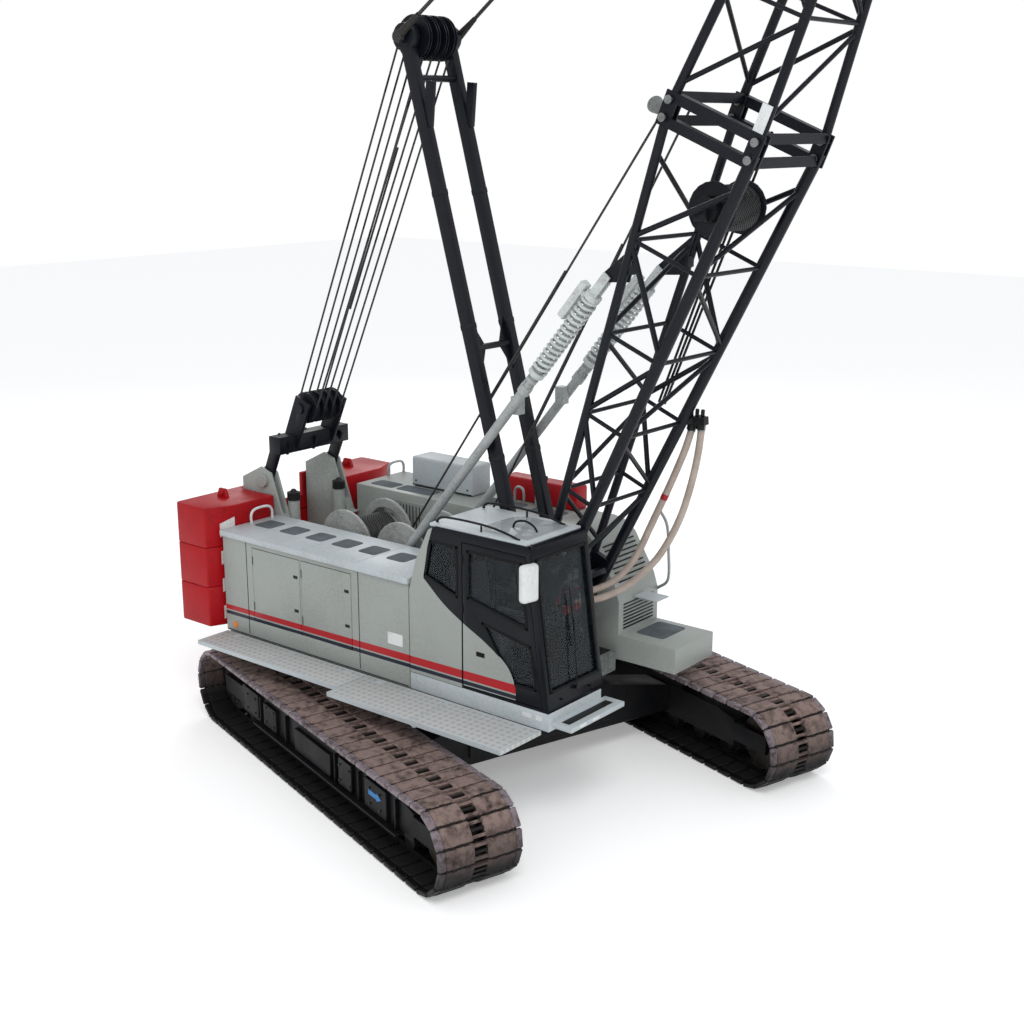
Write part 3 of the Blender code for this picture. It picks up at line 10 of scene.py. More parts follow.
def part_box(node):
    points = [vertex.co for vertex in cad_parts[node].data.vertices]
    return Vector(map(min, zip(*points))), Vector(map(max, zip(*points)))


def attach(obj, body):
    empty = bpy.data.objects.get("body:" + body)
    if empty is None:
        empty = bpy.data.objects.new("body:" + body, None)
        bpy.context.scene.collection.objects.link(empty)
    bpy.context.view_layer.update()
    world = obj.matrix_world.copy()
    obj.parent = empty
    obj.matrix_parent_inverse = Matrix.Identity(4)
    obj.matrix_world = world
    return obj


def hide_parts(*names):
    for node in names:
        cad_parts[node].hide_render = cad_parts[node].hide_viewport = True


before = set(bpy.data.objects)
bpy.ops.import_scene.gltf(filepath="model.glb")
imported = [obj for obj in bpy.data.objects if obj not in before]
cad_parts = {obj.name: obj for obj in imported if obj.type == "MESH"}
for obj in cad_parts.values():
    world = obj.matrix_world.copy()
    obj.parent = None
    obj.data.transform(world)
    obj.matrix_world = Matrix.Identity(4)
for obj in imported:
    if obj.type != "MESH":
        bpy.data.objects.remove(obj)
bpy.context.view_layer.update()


# ---------------------------------------------------------------- studio floor, light and camera
# A pale matt floor under soft light from all round, with one broad lamp from the front left.
# The camera stands ahead of the cab side and looks down on the machine.
def linear(colour):
    """A linear colour with alpha from an sRGB hex value."""
    parts = [int(colour[i : i + 2], 16) / 255 for i in (0, 2, 4)]
    return (*[p / 12.92 if p <= 0.04045 else ((p + 0.055) / 1.055) ** 2.4 for p in parts], 1.0)


def add_node(tree, kind, settings=None, links=None):
    """Adds a node: settings name its sockets or its options, links name the sockets fed by others."""
    node = tree.nodes.new(kind)
    for key, value in (settings or {}).items():
        if isinstance(key, int) or key in node.inputs:
            node.inputs[key].default_value = value
        else:
            setattr(node, key, value)
    for key, source in (links or {}).items():
        tree.links.new(source, node.inputs[key])
    return node


def bare_material(name):
    """A named material with its shader, ready for its own nodes."""
    material = bpy.data.materials.new(name)
    material.use_nodes = True
    return material, material.node_tree, material.node_tree.nodes["Principled BSDF"]


def texture(tree, kind, settings):
    """The value of a texture laid over the object's own coordinates."""
    place = add_node(tree, "ShaderNodeTexCoord")
    made = add_node(tree, kind, settings, {0: place.outputs["Object"]})
    return made.outputs[1 if kind == "ShaderNodeTexWave" else 0]


def blend(tree, low, high, share):
    """The colour between two hex colours, at the share that another node gives."""
    colours = {"data_type": "RGBA", 6: linear(low), 7: linear(high)}
    return add_node(tree, "ShaderNodeMix", colours, {0: share}).outputs[2]


def add_relief(tree, shader, height, strength, distance):
    """A fine relief on a surface, from the height that another node gives."""
    depth = {"Strength": strength, "Distance": distance}
    bump = add_node(tree, "ShaderNodeBump", depth, {"Height": height})
    tree.links.new(bump.outputs[0], shader.inputs["Normal"])


def map_range(tree, value, low, high, to_low, to_high):
    """A value mapped from one range to another."""
    ends = {"From Min": low, "From Max": high, "To Min": to_low, "To Max": to_high}
    return add_node(tree, "ShaderNodeMapRange", ends, {"Value": value}).outputs[0]


scene = bpy.context.scene
scene.view_settings.view_transform = "Standard"
world = bpy.data.worlds.new("soft_room")
scene.world = world
world.use_nodes = True
tree = world.node_tree
room = tree.nodes["Background"]
room.inputs["Color"].default_value = linear("fbfdff")
room.inputs["Strength"].default_value = 0.74
backdrop = add_node(tree, "ShaderNodeBackground", {"Color": linear("ffffff"), "Strength": 1.0})
seen = add_node(tree, "ShaderNodeLightPath")
wall = add_node(
    tree,
    "ShaderNodeMixShader",
    {},
    {0: seen.outputs["Is Camera Ray"], 1: room.outputs[0], 2: backdrop.outputs[0]},
)
tree.links.new(wall.outputs[0], tree.nodes["World Output"].inputs["Surface"])

floor_shape = bmesh.new()
bmesh.ops.create_grid(floor_shape, x_segments=2, y_segments=2, size=60.0)
floor_mesh = bpy.data.meshes.new("floor")
floor_shape.to_mesh(floor_mesh)
floor_shape.free()
floor = bpy.data.objects.new("floor", floor_mesh)
scene.collection.objects.link(floor)
matt_floor, tree, shader = bare_material("matt_floor_paint")
shader.inputs["Base Color"].default_value = linear("f4f4f4")
shader.inputs["Emission Color"].default_value = linear("ffffff")
shader.inputs["Emission Strength"].default_value = 0.28
shader.inputs["Roughness"].default_value = 0.9
mottle = add_node(tree, "ShaderNodeTexNoise", {"Scale": 3.0})
tree.links.new(
    add_node(tree, "ShaderNodeBump", {"Strength": 0.02}, {"Height": mottle.outputs[0]}).outputs[0],
    shader.inputs["Normal"],
)
floor_mesh.materials.append(matt_floor)

def aimed(place, target):
    """The turn of a lamp or a camera at one place that looks at another."""
    return (Vector(target) - Vector(place)).to_track_quat("-Z", "Y").to_euler()


for lamp_name, place, energy, size in (
    ("broad_lamp", (13.0, -12.0, 22.0), 2100.0, 9.0),
    ("fill_lamp", (2.0, -20.0, 6.0), 150.0, 10.0),
    ("back_lamp", (-14.0, 14.0, 14.0), 700.0, 9.0),
):
    lamp_data = bpy.data.lights.new(lamp_name, "AREA")
    lamp_data.energy = energy
    lamp_data.size = size
    lamp = bpy.data.objects.new(lamp_name, lamp_data)
    lamp.location = place
    lamp.rotation_euler = aimed(place, (0.0, 0.0, 3.0))
    scene.collection.objects.link(lamp)

camera_data = bpy.data.cameras.new("camera")
camera_data.lens = 50.9
camera_data.sensor_width = 36.0
camera = bpy.data.objects.new("camera", camera_data)
camera.location = (10.439, -12.574, 7.281)
camera.rotation_euler = aimed(camera.location, (0.047, 0.208, 2.891))
scene.collection.objects.link(camera)
scene.camera = camera


# ---------------------------------------------------------------- boom hoses
# Two rubber hoses in woven tan sleeves, which hang slack from the boom's clamp to the deck.
# Each is crimped at both ends, and the right one wears a red marking tape.
def coated(
    name,
    paint,
    dirt,
    roughness=0.42,
    dirt_share=0.45,
    patch=1.4,
    grain=38.0,
    metallic=0.0,
    gloss=0.35,
):
    """A painted or bare surface with patches of dirt, uneven gloss and a faint texture."""
    material, tree, shader = bare_material(name)
    patches = texture(
        tree, "ShaderNodeTexNoise", {"Scale": patch, "Detail": 6.0, "Roughness": 0.62}
    )
    fine = texture(tree, "ShaderNodeTexNoise", {"Scale": grain, "Detail": 4.0, "Roughness": 0.6})
    both = add_node(tree, "ShaderNodeMath", {"operation": "MULTIPLY"}, {0: patches, 1: fine})
    amount = map_range(tree, both.outputs[0], 0.20, 0.42, 0.0, dirt_share)
    tree.links.new(blend(tree, paint, dirt, amount), shader.inputs["Base Color"])
    dulling = map_range(tree, patches, 0.3, 0.7, roughness - 0.08, roughness + 0.16)
    tree.links.new(dulling, shader.inputs["Roughness"])
    shader.inputs["Metallic"].default_value = metallic
    shader.inputs["Specular IOR Level"].default_value = gloss
    add_relief(tree, shader, fine, 0.10, 0.004)
    return material


def piece(shape, name, body, slot, *materials, replaced=(), sharp=38.0):
    """Makes a finished object of a shape, with its faces outwards, riding on a body."""
    bmesh.ops.recalc_face_normals(shape, faces=shape.faces)
    mesh = bpy.data.meshes.new(name)
    shape.to_mesh(mesh)
    shape.free()
    mesh.shade_smooth()
    mesh.set_sharp_from_angle(angle=math.radians(sharp))
    for material in materials:
        mesh.materials.append(material)
    made = bpy.data.objects.new(name, mesh)
    scene.collection.objects.link(made)
    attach(made, body)
    if replaced:
        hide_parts(*replaced)
    return made


def add_rod(shape, start, end, radius, sides=16, end_radius=None, finish=0):
    """A round bar or a cone between two points."""
    start, end = Vector(start), Vector(end)
    along = end - start
    turn = along.to_track_quat("Z", "Y").to_matrix().to_4x4()
    matrix = Matrix.Translation((start + end) / 2) @ turn
    made = bmesh.ops.create_cone(
        shape,
        cap_ends=True,
        segments=sides,
        radius1=radius,
        radius2=radius if end_radius is None else end_radius,
        depth=along.length,
        matrix=matrix,
    )
    for face in {f for v in made["verts"] for f in v.link_faces}:
        face.material_index = finish
    return made["verts"]


def add_disc(shape, centre, half, radius, sides):
    """A short round bar along Y, half its thickness to each side of its centre."""
    step = Vector((0, half, 0))
    return add_rod(shape, centre - step, centre + step, radius, sides)


def on_curve(points, spacing):
    """Points on a smooth curve through a route's own points."""
    route = [Vector(p) for p in points]
    ends = [2 * route[0] - route[1]] + route + [2 * route[-1] - route[-2]]
    result = []
    for before, start, end, after in zip(ends, ends[1:], ends[2:], ends[3:]):
        count = max(1, round((end - start).length / spacing))
        for step in range(count):
            t = step / count
            result.append(
                0.5
                * (
                    2 * start
                    + (end - before) * t
                    + (2 * before - 5 * start + 4 * end - after) * t**2
                    + (3 * start - before - 3 * end + after) * t**3
                )
            )
    return result + [route[-1]]


def bent_tube(name, line, radius, rings):
    """A curve object with a round section along points."""
    curve = bpy.data.curves.new(name, "CURVE")
    curve.dimensions = "3D"
    spline = curve.splines.new("POLY")
    spline.points.add(len(line) - 1)
    for target, point in zip(spline.points, line):
        target.co = (*point, 1.0)
    curve.bevel_depth = radius
    curve.bevel_resolution = rings
    curve.use_fill_caps = True
    return bpy.data.objects.new(name, curve)


hose_sleeve, tree, shader = bare_material("woven_polyester_sleeve")
# tan woven sleeve, dusty, its threads drawn 12 mm apart so that they show
woven = {"bands_direction": "DIAGONAL", "Scale": 26.0, "Distortion": 1.5, "Detail": 1.0}
threads = texture(tree, "ShaderNodeTexWave", woven)
dust = texture(tree, "ShaderNodeTexNoise", {"Scale": 5.0, "Detail": 5.0})
tree.links.new(blend(tree, "c9bdb4", "8d7b6e", dust), shader.inputs["Base Color"])
shader.inputs["Roughness"].default_value = 0.88
add_relief(tree, shader, threads, 0.35, 0.004)

tape_red = coated("red_vinyl_tape", "a01c22", "5b1a18", roughness=0.5)
crimp_steel = coated("zinc_plated_steel", "8f9494", "4c4a46", roughness=0.38, metallic=0.8)

hose_radius = 0.040
for hose_name, route, band in (
    (
        "boom_hose_1",
        [
            (2.215, 0.655, 4.130), (2.130, 0.668, 3.880), (2.020, 0.675, 3.620), (1.900, 0.675, 3.350),
            (1.780, 0.670, 3.090), (1.670, 0.655, 2.840), (1.580, 0.620, 2.610), (1.490, 0.550, 2.420),
            (1.390, 0.450, 2.270), (1.270, 0.330, 2.180), (1.170, 0.200, 2.140), (1.105, 0.100, 2.125),
        ],
        True,
    ),
    (
        "boom_hose_2",
        [
            (2.330, 0.655, 4.150), (2.285, 0.690, 3.900), (2.225, 0.715, 3.640), (2.150, 0.730, 3.370),
            (2.060, 0.730, 3.090), (1.940, 0.710, 2.810), (1.800, 0.660, 2.550), (1.640, 0.590, 2.350),
            (1.480, 0.470, 2.180), (1.320, 0.300, 2.080), (1.190, 0.130, 2.050), (1.105, 0.000, 2.050),
        ],
        False,
    ),
):
    line = on_curve(route, 0.075)
    hose = bent_tube(hose_name + "_sleeve", line, hose_radius, 4)
    hose.data.materials.append(hose_sleeve)
    scene.collection.objects.link(hose)
    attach(hose, "boom")
    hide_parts(hose_name)
    if band:
        shape = bmesh.new()
        tape_at = round(len(line) * 0.36)
        middle, after = line[tape_at], line[tape_at + 1]
        along = (after - middle).normalized()
        add_rod(shape, middle - along * 0.035, middle + along * 0.035, hose_radius + 0.003, 20)
        piece(shape, hose_name + "_tape", "boom", "red_enamel", tape_red)
    shape = bmesh.new()
    for end, inner in ((line[0], line[1]), (line[-1], line[-2])):
        along = (inner - end).normalized()
        add_rod(shape, end - along * 0.02, end + along * 0.055, hose_radius + 0.006, 20)
        add_rod(shape, end - along * 0.05, end - along * 0.02, hose_radius - 0.006, 6)
    piece(shape, hose_name + "_crimps", "boom", "bare_steel", crimp_steel)


# ---------------------------------------------------------------- crawler tracks
# Each track is a loop of cast steel shoes with hinge lugs that mesh and a slotted middle.
# Mud dries brown on the treads, and the outer ends of the shoes are rubbed pale. The lower run is
# painted near black as shade.
def add_box(shape, low, high, matrix=None, finish=0):
    """A block between two opposite corners, then placed by a matrix."""
    size = [abs(h - l) for l, h in zip(low, high)]
    middle = [(h + l) / 2 for l, h in zip(low, high)]
    full = (matrix or Matrix()) @ Matrix.Translation(middle) @ Matrix.Diagonal((*size, 1.0))
    made = bmesh.ops.create_cube(shape, size=1.0, matrix=full)
    for face in {f for v in made["verts"] for f in v.link_faces}:
        face.material_index = finish
    return made["verts"]


def round_off(shape, width, segments=2, angle=30.0):
    """Rounds a shape's sharp edges as a casting's or a pressing's are."""
    edges = [e for e in shape.edges if e.is_manifold and e.calc_face_angle(0.0) > math.radians(angle)]
    bmesh.ops.bevel(
        shape,
        geom=edges,
        offset=width,
        offset_type="OFFSET",
        affect="EDGES",
        segments=segments,
        profile=0.5,
        material=-1,
        clamp_overlap=True,
    )
    return shape


shoe_mud = coated(
    "dried_mud_on_cast_steel", "84706a", "2b211d", 0.78, 0.97, patch=5.0, grain=13.0
)
shoe_rubbed = coated(
    "rubbed_cast_steel", "857a80", "3a2c26", 0.5, 0.85, patch=5.0, grain=20.0, metallic=0.3
)
link_grime = coated(
    "greasy_cast_steel", "1c1a1a", "2a201a", 0.6, 0.7, patch=7.0, grain=30.0, metallic=0.4
)

for worn in (shoe_mud, shoe_rubbed, link_grime):
    # painted shade: the shoes turn near black towards the bottom of the loop, over the lower run; the
    # upper run keeps their own brown
    tree = worn.node_tree
    shader = tree.nodes["Principled BSDF"]
    unshaded_colour = shader.inputs["Base Color"].links[0].from_socket
    place = add_node(tree, "ShaderNodeTexCoord")
    axes = add_node(tree, "ShaderNodeSeparateXYZ", {}, {0: place.outputs["Object"]})
    height = map_range(tree, axes.outputs[2], 0.25, 0.80, 0.0, 1.0)
    # painted shade colour, mixed in by height
    lower_run_shade = add_node(
        tree, "ShaderNodeMix", {"data_type": "RGBA", 6: linear("0d0c0e")}, {0: height, 7: unshaded_colour}
    )
    tree.links.new(lower_run_shade.outputs[2], shader.inputs["Base Color"])

crawler_turn = Matrix.Rotation(math.radians(-17.1), 4, "Z")
half_gauge = 2.15
wheel_reach = 2.53
track_radius = 0.470
shoe_count = 58
shoe_pitch = (4 * wheel_reach + 2 * math.pi * track_radius) / shoe_count

shoe = bmesh.new()
for side in (-1, 1):
    add_box(shoe, (-0.100, side * 0.075, -0.060), (0.100, side * 0.405, -0.001), finish=0)
    add_box(shoe, (-0.100, side * 0.400, -0.058), (0.100, side * 0.4825, -0.006), finish=1)
round_off(shoe, 0.012, 1)
for side in (-1, 1):
    for ahead, places in ((1, (0.16, 0.31)), (-1, (0.235, 0.385))):
        for lug in places:
            y = side * lug
            add_box(
                shoe,
                (ahead * 0.095, y - 0.030, -0.052),
                (ahead * 0.126, y + 0.030, -0.012),
                finish=2,
            )
    add_box(shoe, (-0.110, side * 0.06, -0.122), (0.110, side * 0.16, -0.058), finish=2)
for x in (-0.068, 0.0, 0.068):
    add_box(shoe, (x - 0.016, -0.080, -0.052), (x + 0.016, 0.080, -0.012), finish=0 if x else 2)
shoe_source = bpy.data.meshes.new("shoe_source")
bmesh.ops.recalc_face_normals(shoe, faces=shoe.faces)
shoe.to_mesh(shoe_source)
shoe.free()

for hand, side in (("right", -1), ("left", 1)):
    shape = bmesh.new()
    straight, bend = 2 * wheel_reach, math.pi * track_radius
    for number in range(shoe_count):
        run = (number + 0.5) * shoe_pitch
        if run < straight:
            x, z, lean = -wheel_reach + run, 2 * track_radius, 0.0
        elif run < straight + bend:
            lean = (run - straight) / track_radius
            x, z = wheel_reach + track_radius * math.sin(lean), track_radius * (1 + math.cos(lean))
        elif run < 2 * straight + bend:
            x, z, lean = wheel_reach - (run - straight - bend), 0.0, math.pi
        else:
            lean = math.pi + (run - 2 * straight - bend) / track_radius
            x, z = -wheel_reach + track_radius * math.sin(lean), track_radius * (1 + math.cos(lean))
        before = len(shape.verts)
        shape.from_mesh(shoe_source)
        shape.verts.ensure_lookup_table()
        spot = Matrix.Translation((x, side * half_gauge, z))
        placing = crawler_turn @ spot @ Matrix.Rotation(lean, 4, "Y")
        bmesh.ops.transform(shape, matrix=placing, verts=shape.verts[before:])
    piece(
        shape,
        f"track_{hand}_shoes",
        "undercarriage",
        "worn_track_steel",
        shoe_mud,
        shoe_rubbed,
        link_grime,
        replaced=[f"track_{hand}"],
    )


# ---------------------------------------------------------------- crawler side frames and wheels
# Welded steel box frames in black enamel, with bolted covers, a ledge and a cast roller row.
# The idler turns at the front and the toothed sprocket at the rear, both in cast steel.
def refinish(node, name, body, slot, material, width=0.008, segments=2):
    """A CAD node's own shape with its edges rounded, standing for that node."""
    shape = bmesh.new()
    shape.from_mesh(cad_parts[node].data)
    bmesh.ops.remove_doubles(shape, verts=shape.verts, dist=0.0002)
    bmesh.ops.dissolve_limit(
        shape,
        angle_limit=math.radians(0.6),
        verts=shape.verts,
        edges=shape.edges,
        use_dissolve_boundaries=False,
    )
    if width:
        round_off(shape, width, segments, 38.0)
    return piece(shape, name, body, slot, material, replaced=[node])


def paint_node(node, *materials):
    """Gives a CAD node that is shown as it is a real finish."""
    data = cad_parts[node].data
    data.materials.clear()
    for material in materials:
        data.materials.append(material)


lower_black = coated(
    "black_chassis_enamel", "0b0c10", "28231e", 0.5, 0.5, patch=2.2, grain=20.0, gloss=0.2
)
wheel_iron = coated(
    "worn_cast_wheel", "26221f", "4b443d", 0.5, 0.8, patch=5.0, grain=20.0, metallic=0.5
)
arrow_blue = coated("blue_vinyl_label", "2f7fc4", "1d4a73", 0.45, 0.4)
bolt_steel = coated("dirty_bolt_steel", "4a4a48", "26221e", 0.5, 0.7, metallic=0.6)

for hand, side in (("right", -1), ("left", 1)):
    refinish(
        f"track_frame_{hand}",
        f"track_frame_{hand}_weldment",
        "undercarriage",
        "black_enamel",
        lower_black,
        0.006,
        1,
    )
    for wheel in ("idler", "sprocket"):
        refinish(
            f"{wheel}_{hand}",
            f"{wheel}_{hand}_casting",
            "undercarriage",
            "worn_track_steel",
            wheel_iron,
            0.008,
            1,
        )
    shape = bmesh.new()
    face_y = side * (half_gauge + 0.25)
    near, far = face_y - side * 0.02, face_y + side * 0.045
    for start, end, low, high in (
        (-1.95, -1.55, 0.36, 0.66),
        (-1.40, -1.05, 0.34, 0.62),
        (-0.55, 0.35, 0.33, 0.60),
        (0.55, 0.85, 0.34, 0.66),
        (1.15, 1.62, 0.33, 0.66),
    ):
        add_box(shape, (start, near, low), (end, far, high))
    add_box(shape, (-1.60, near, 0.292), (1.90, face_y + side * 0.10, 0.318))
    for x in (-1.50, -0.80, 0.45, 1.00, 1.80):
        add_box(shape, (x - 0.012, near, 0.30), (x + 0.012, far, 0.655))
    round_off(shape, 0.006, 1)
    bmesh.ops.transform(shape, matrix=crawler_turn, verts=shape.verts)
    piece(shape, f"track_frame_{hand}_covers", "undercarriage", "black_enamel", lower_black)
    shape = bmesh.new()
    bolt_low = face_y + side * 0.040
    cover_bolts = [
        (x + shift, z)
        for x in (-1.75, -1.22, 0.70, 1.38)
        for shift in (-0.11, 0.11)
        for z in (0.40, 0.58)
    ]
    for x, z in cover_bolts + [(-1.9 + 0.42 * index, 0.305) for index in range(9)]:
        add_rod(shape, (x, bolt_low, z), (x, bolt_low + side * 0.022, z), 0.014, 6)
    hub_y = side * (half_gauge + 0.16)
    for step in range(10):
        angle = math.radians(36 * step)
        for hub_x, ring in ((-2.51, 0.22), (wheel_reach, 0.13)):
            x, z = hub_x + ring * math.cos(angle), track_radius + ring * math.sin(angle)
            add_rod(shape, (x, hub_y, z), (x, hub_y + side * 0.035, z), 0.017, 6)
    bmesh.ops.transform(shape, matrix=crawler_turn, verts=shape.verts)
    piece(shape, f"track_frame_{hand}_bolts", "undercarriage", "bare_steel", bolt_steel)
    shape = bmesh.new()
    label_low, label_high = face_y + side * 0.044, face_y + side * 0.048
    add_box(shape, (1.24, label_low, 0.50), (1.42, label_high, 0.555))
    tip = [
        shape.verts.new((x, y, z))
        for y in (label_low, label_high)
        for x, z in ((1.42, 0.48), (1.52, 0.5275), (1.42, 0.575))
    ]
    bmesh.ops.convex_hull(shape, input=tip)
    bmesh.ops.transform(shape, matrix=crawler_turn, verts=shape.verts)
    piece(shape, f"track_frame_{hand}_arrow", "undercarriage", "light_grey_enamel", arrow_blue)


# ---------------------------------------------------------------- carbody and slewing ring
# The fabricated centre of the undercarriage, and the toothed ring that the upper works turn on.
# Both are greasy and dark, with a row of ring bolts.
ring_steel = coated("greased_ring_steel", "3a3835", "171412", 0.42, 0.7, patch=4.0, metallic=0.7)
refinish("carbody", "carbody_weldment", "undercarriage", "black_enamel", lower_black, 0.008, 1)
paint_node("slew_ring", ring_steel)
shape = bmesh.new()
for step in range(36):
    angle = math.radians(step * 10)
    x, y = 0.765 * math.cos(angle), 0.765 * math.sin(angle)
    add_rod(shape, (x, y, 1.080), (x, y, 1.0935), 0.018, 6)
piece(shape, "slew_ring_bolts", "undercarriage", "bare_steel", bolt_steel)


# ---------------------------------------------------------------- revolving frame
# The welded deck that carries the winches, houses, cab and counterweight, in grey enamel darkened with
# painted shade.
# Lifting eyes, access covers and hydraulic pipes lie on its front half.
body_grey = coated("grey_machinery_enamel", "979c98", "6f6d66", 0.40, 0.35, patch=1.1, grain=30.0)
# painted shade: a darker copy of the houses' grey enamel for the deck under them, with dirt patches
# over it
shaded_frame_grey = coated("grey_enamel_with_painted_shade_and_dirt", "707775", "34332f", 0.48, 0.75, patch=2.6, grain=26.0)
dark_plate = coated("black_deck_paint", "101216", "2c2925", 0.52, 0.5, patch=3.0, gloss=0.25)
pipe_steel = coated("painted_hydraulic_pipe", "8b9190", "474640", 0.36, 0.5, metallic=0.4)


def add_plate(shape, outline, low, high, plane="XZ", finish=0):
    """A flat outline given thickness between two levels of the third axis."""
    low, high = sorted((low, high))
    place = {
        "XZ": lambda a, b: (a, low, b),
        "XY": lambda a, b: (a, b, low),
        "YZ": lambda a, b: (low, a, b),
    }[plane]
    shift = {"XZ": (0, high - low, 0), "XY": (0, 0, high - low), "YZ": (high - low, 0, 0)}[plane]
    face = shape.faces.new([shape.verts.new(place(a, b)) for a, b in outline])
    grown = bmesh.ops.extrude_face_region(shape, geom=[face])
    moved = [item for item in grown["geom"] if isinstance(item, bmesh.types.BMVert)]
    bmesh.ops.translate(shape, verts=moved, vec=shift)
    for made in {f for v in moved for f in v.link_faces} | {face}:
        made.material_index = finish
    return shape


def add_pipe(shape, points, radius, sides=10, smooth=True, finish=0):
    """A round pipe or wire bent along points."""
    line = on_curve(points, max(0.03, radius * 1.5)) if smooth else [Vector(p) for p in points]
    bend = bent_tube("bent_pipe", line, radius, max(1, sides // 4))
    curve = bend.data
    mesh = bend.to_mesh()
    faces_before = len(shape.faces)
    shape.from_mesh(mesh)
    shape.faces.ensure_lookup_table()
    for face in shape.faces[faces_before:]:
        face.material_index = finish
    bend.to_mesh_clear()
    bpy.data.objects.remove(bend)
    bpy.data.curves.remove(curve)
    return shape


refinish(
    "revolving_frame", "revolving_frame_weldment", "upper_works", "grey_enamel", shaded_frame_grey, 0.006, 1
)
shape = bmesh.new()
add_box(shape, (0.05, -0.50, 1.335), (1.25, 0.56, 1.352))
for x, y in ((0.18, -0.42), (1.12, -0.42), (0.18, 0.48), (1.12, 0.48), (0.65, 0.05)):
    add_rod(shape, (x, y, 1.35), (x, y, 1.372), 0.022, 6)
add_box(shape, (1.04, -0.12, 1.35), (1.24, 0.24, 1.46))
add_box(shape, (1.06, -0.16, 1.97), (1.14, 0.20, 2.17))
add_box(shape, (1.07, -0.10, 1.45), (1.13, 0.14, 1.98))
round_off(shape, 0.006, 1)
piece(shape, "deck_cover", "upper_works", "black_enamel", dark_plate)
shape = bmesh.new()
for index in range(5):
    y = -0.42 + 0.07 * index
    route = [(-0.30, y, 1.38), (0.30, y, 1.40), (0.80, y * 0.6, 1.42), (1.06, y * 0.5, 1.50)]
    add_pipe(shape, route, 0.016)
for index in range(3):
    y = 0.30 + 0.08 * index
    route = [(-2.9, y, 1.37), (-1.5, y, 1.37), (-0.2, y, 1.37), (0.9, y * 0.9, 1.40)]
    add_pipe(shape, route, 0.014)
piece(shape, "deck_pipes", "upper_works", "bare_steel", pipe_steel)


# ---------------------------------------------------------------- counterweight
# Three cast slabs in red enamel, with lifting lugs on top and a white hazard stripe down
# each front corner. Chips and dust show where the slings lift them.
weight_red = coated(
    "red_weight_enamel", "a80a15", "4a0e0c", 0.36, 0.40, patch=1.6, grain=26.0, gloss=0.22
)
hazard_white = coated("white_hazard_paint", "d9d9d6", "8d8780", 0.5, 0.5)

for level in ("lower", "middle", "top"):
    slab = f"counterweight_{level}"
    refinish(slab, f"{slab}_casting", "upper_works", "red_enamel", weight_red, 0.018)
weight_top = 2.735
shape = bmesh.new()
for side in (-1, 1):
    x, y = -3.60, side * 1.10
    lug = [(x - 0.11, weight_top), (x + 0.11, weight_top), (x + 0.06, 2.86), (x - 0.06, 2.86)]
    add_plate(shape, lug, y - 0.02, y + 0.02)
    add_rod(shape, (x, y - 0.04, 2.80), (x, y + 0.04, 2.80), 0.030, 12)
round_off(shape, 0.006, 1)
piece(shape, "counterweight_lugs", "upper_works", "red_enamel", weight_red)
shape = bmesh.new()
# each stripe crosses the chamfer from its outer edge to its inner edge, rising as it goes
stripe_rise, stripe_wide = 0.07, 0.17
for side in (-1, 1):
    outer, inner = (-3.233, side * 1.477), (-3.160, side * 1.301)
    for index in range(4):
        z = 1.30 + 0.355 * index
        corners = [
            (*outer, z),
            (*inner, z + stripe_rise),
            (*inner, z + stripe_rise + stripe_wide),
            (*outer, z + stripe_wide),
        ]
        face = shape.faces.new(
            [shape.verts.new((x, y, min(level, weight_top))) for x, y, level in corners]
        )
        grown = bmesh.ops.extrude_face_region(shape, geom=[face])
        moved = [v for v in grown["geom"] if isinstance(v, bmesh.types.BMVert)]
        bmesh.ops.translate(shape, verts=moved, vec=(-0.006, -side * 0.004, 0))
piece(shape, "counterweight_hazard_stripes", "upper_works", "red_enamel", hazard_white)


# ---------------------------------------------------------------- gantry
# Two grey plates with ledges that hold the bail, and two round posts with ribbed black caps.
# The plates are flame cut and welded to the deck's tail.
rib_black = coated("moulded_black_rubber", "17181a", "3d3b38", 0.62, 0.5, patch=4.0)
refinish("gantry", "gantry_weldment", "upper_works", "grey_enamel", body_grey, 0.006, 2)
shape = bmesh.new()
for side in (-1, 1):
    for x, z, width in ((-3.05, 2.33, 0.16), (-2.99, 1.85, 0.12), (-3.02, 1.55, 0.10)):
        add_box(shape, (x, side * 0.50, z), (x + width, side * 0.60, z + 0.018))
    low, high = sorted((side * 0.62, side * 0.665))
    add_rod(shape, (-3.37, low, 2.91), (-3.37, high, 2.91), 0.085, 16)
    add_rod(shape, (-3.37, high - 0.01, 2.91), (-3.37, high + 0.012, 2.91), 0.045, 6)
round_off(shape, 0.004, 1)
piece(shape, "gantry_ledges", "upper_works", "light_grey_enamel", body_grey)
shape = bmesh.new()
for side in (-1, 1):
    for index in range(6):
        z = 2.660 + 0.018 * index
        add_rod(shape, (-3.06, side * 0.40, z), (-3.06, side * 0.40, z + 0.010), 0.085, 20)
    add_rod(shape, (-3.06, side * 0.40, 2.655), (-3.06, side * 0.40, 2.765), 0.070, 20)
    add_rod(shape, (-3.06, side * 0.40, 2.765), (-3.06, side * 0.40, 2.80), 0.050, 20, 0.025)
piece(shape, "gantry_post_caps", "upper_works", "black_enamel", rib_black)


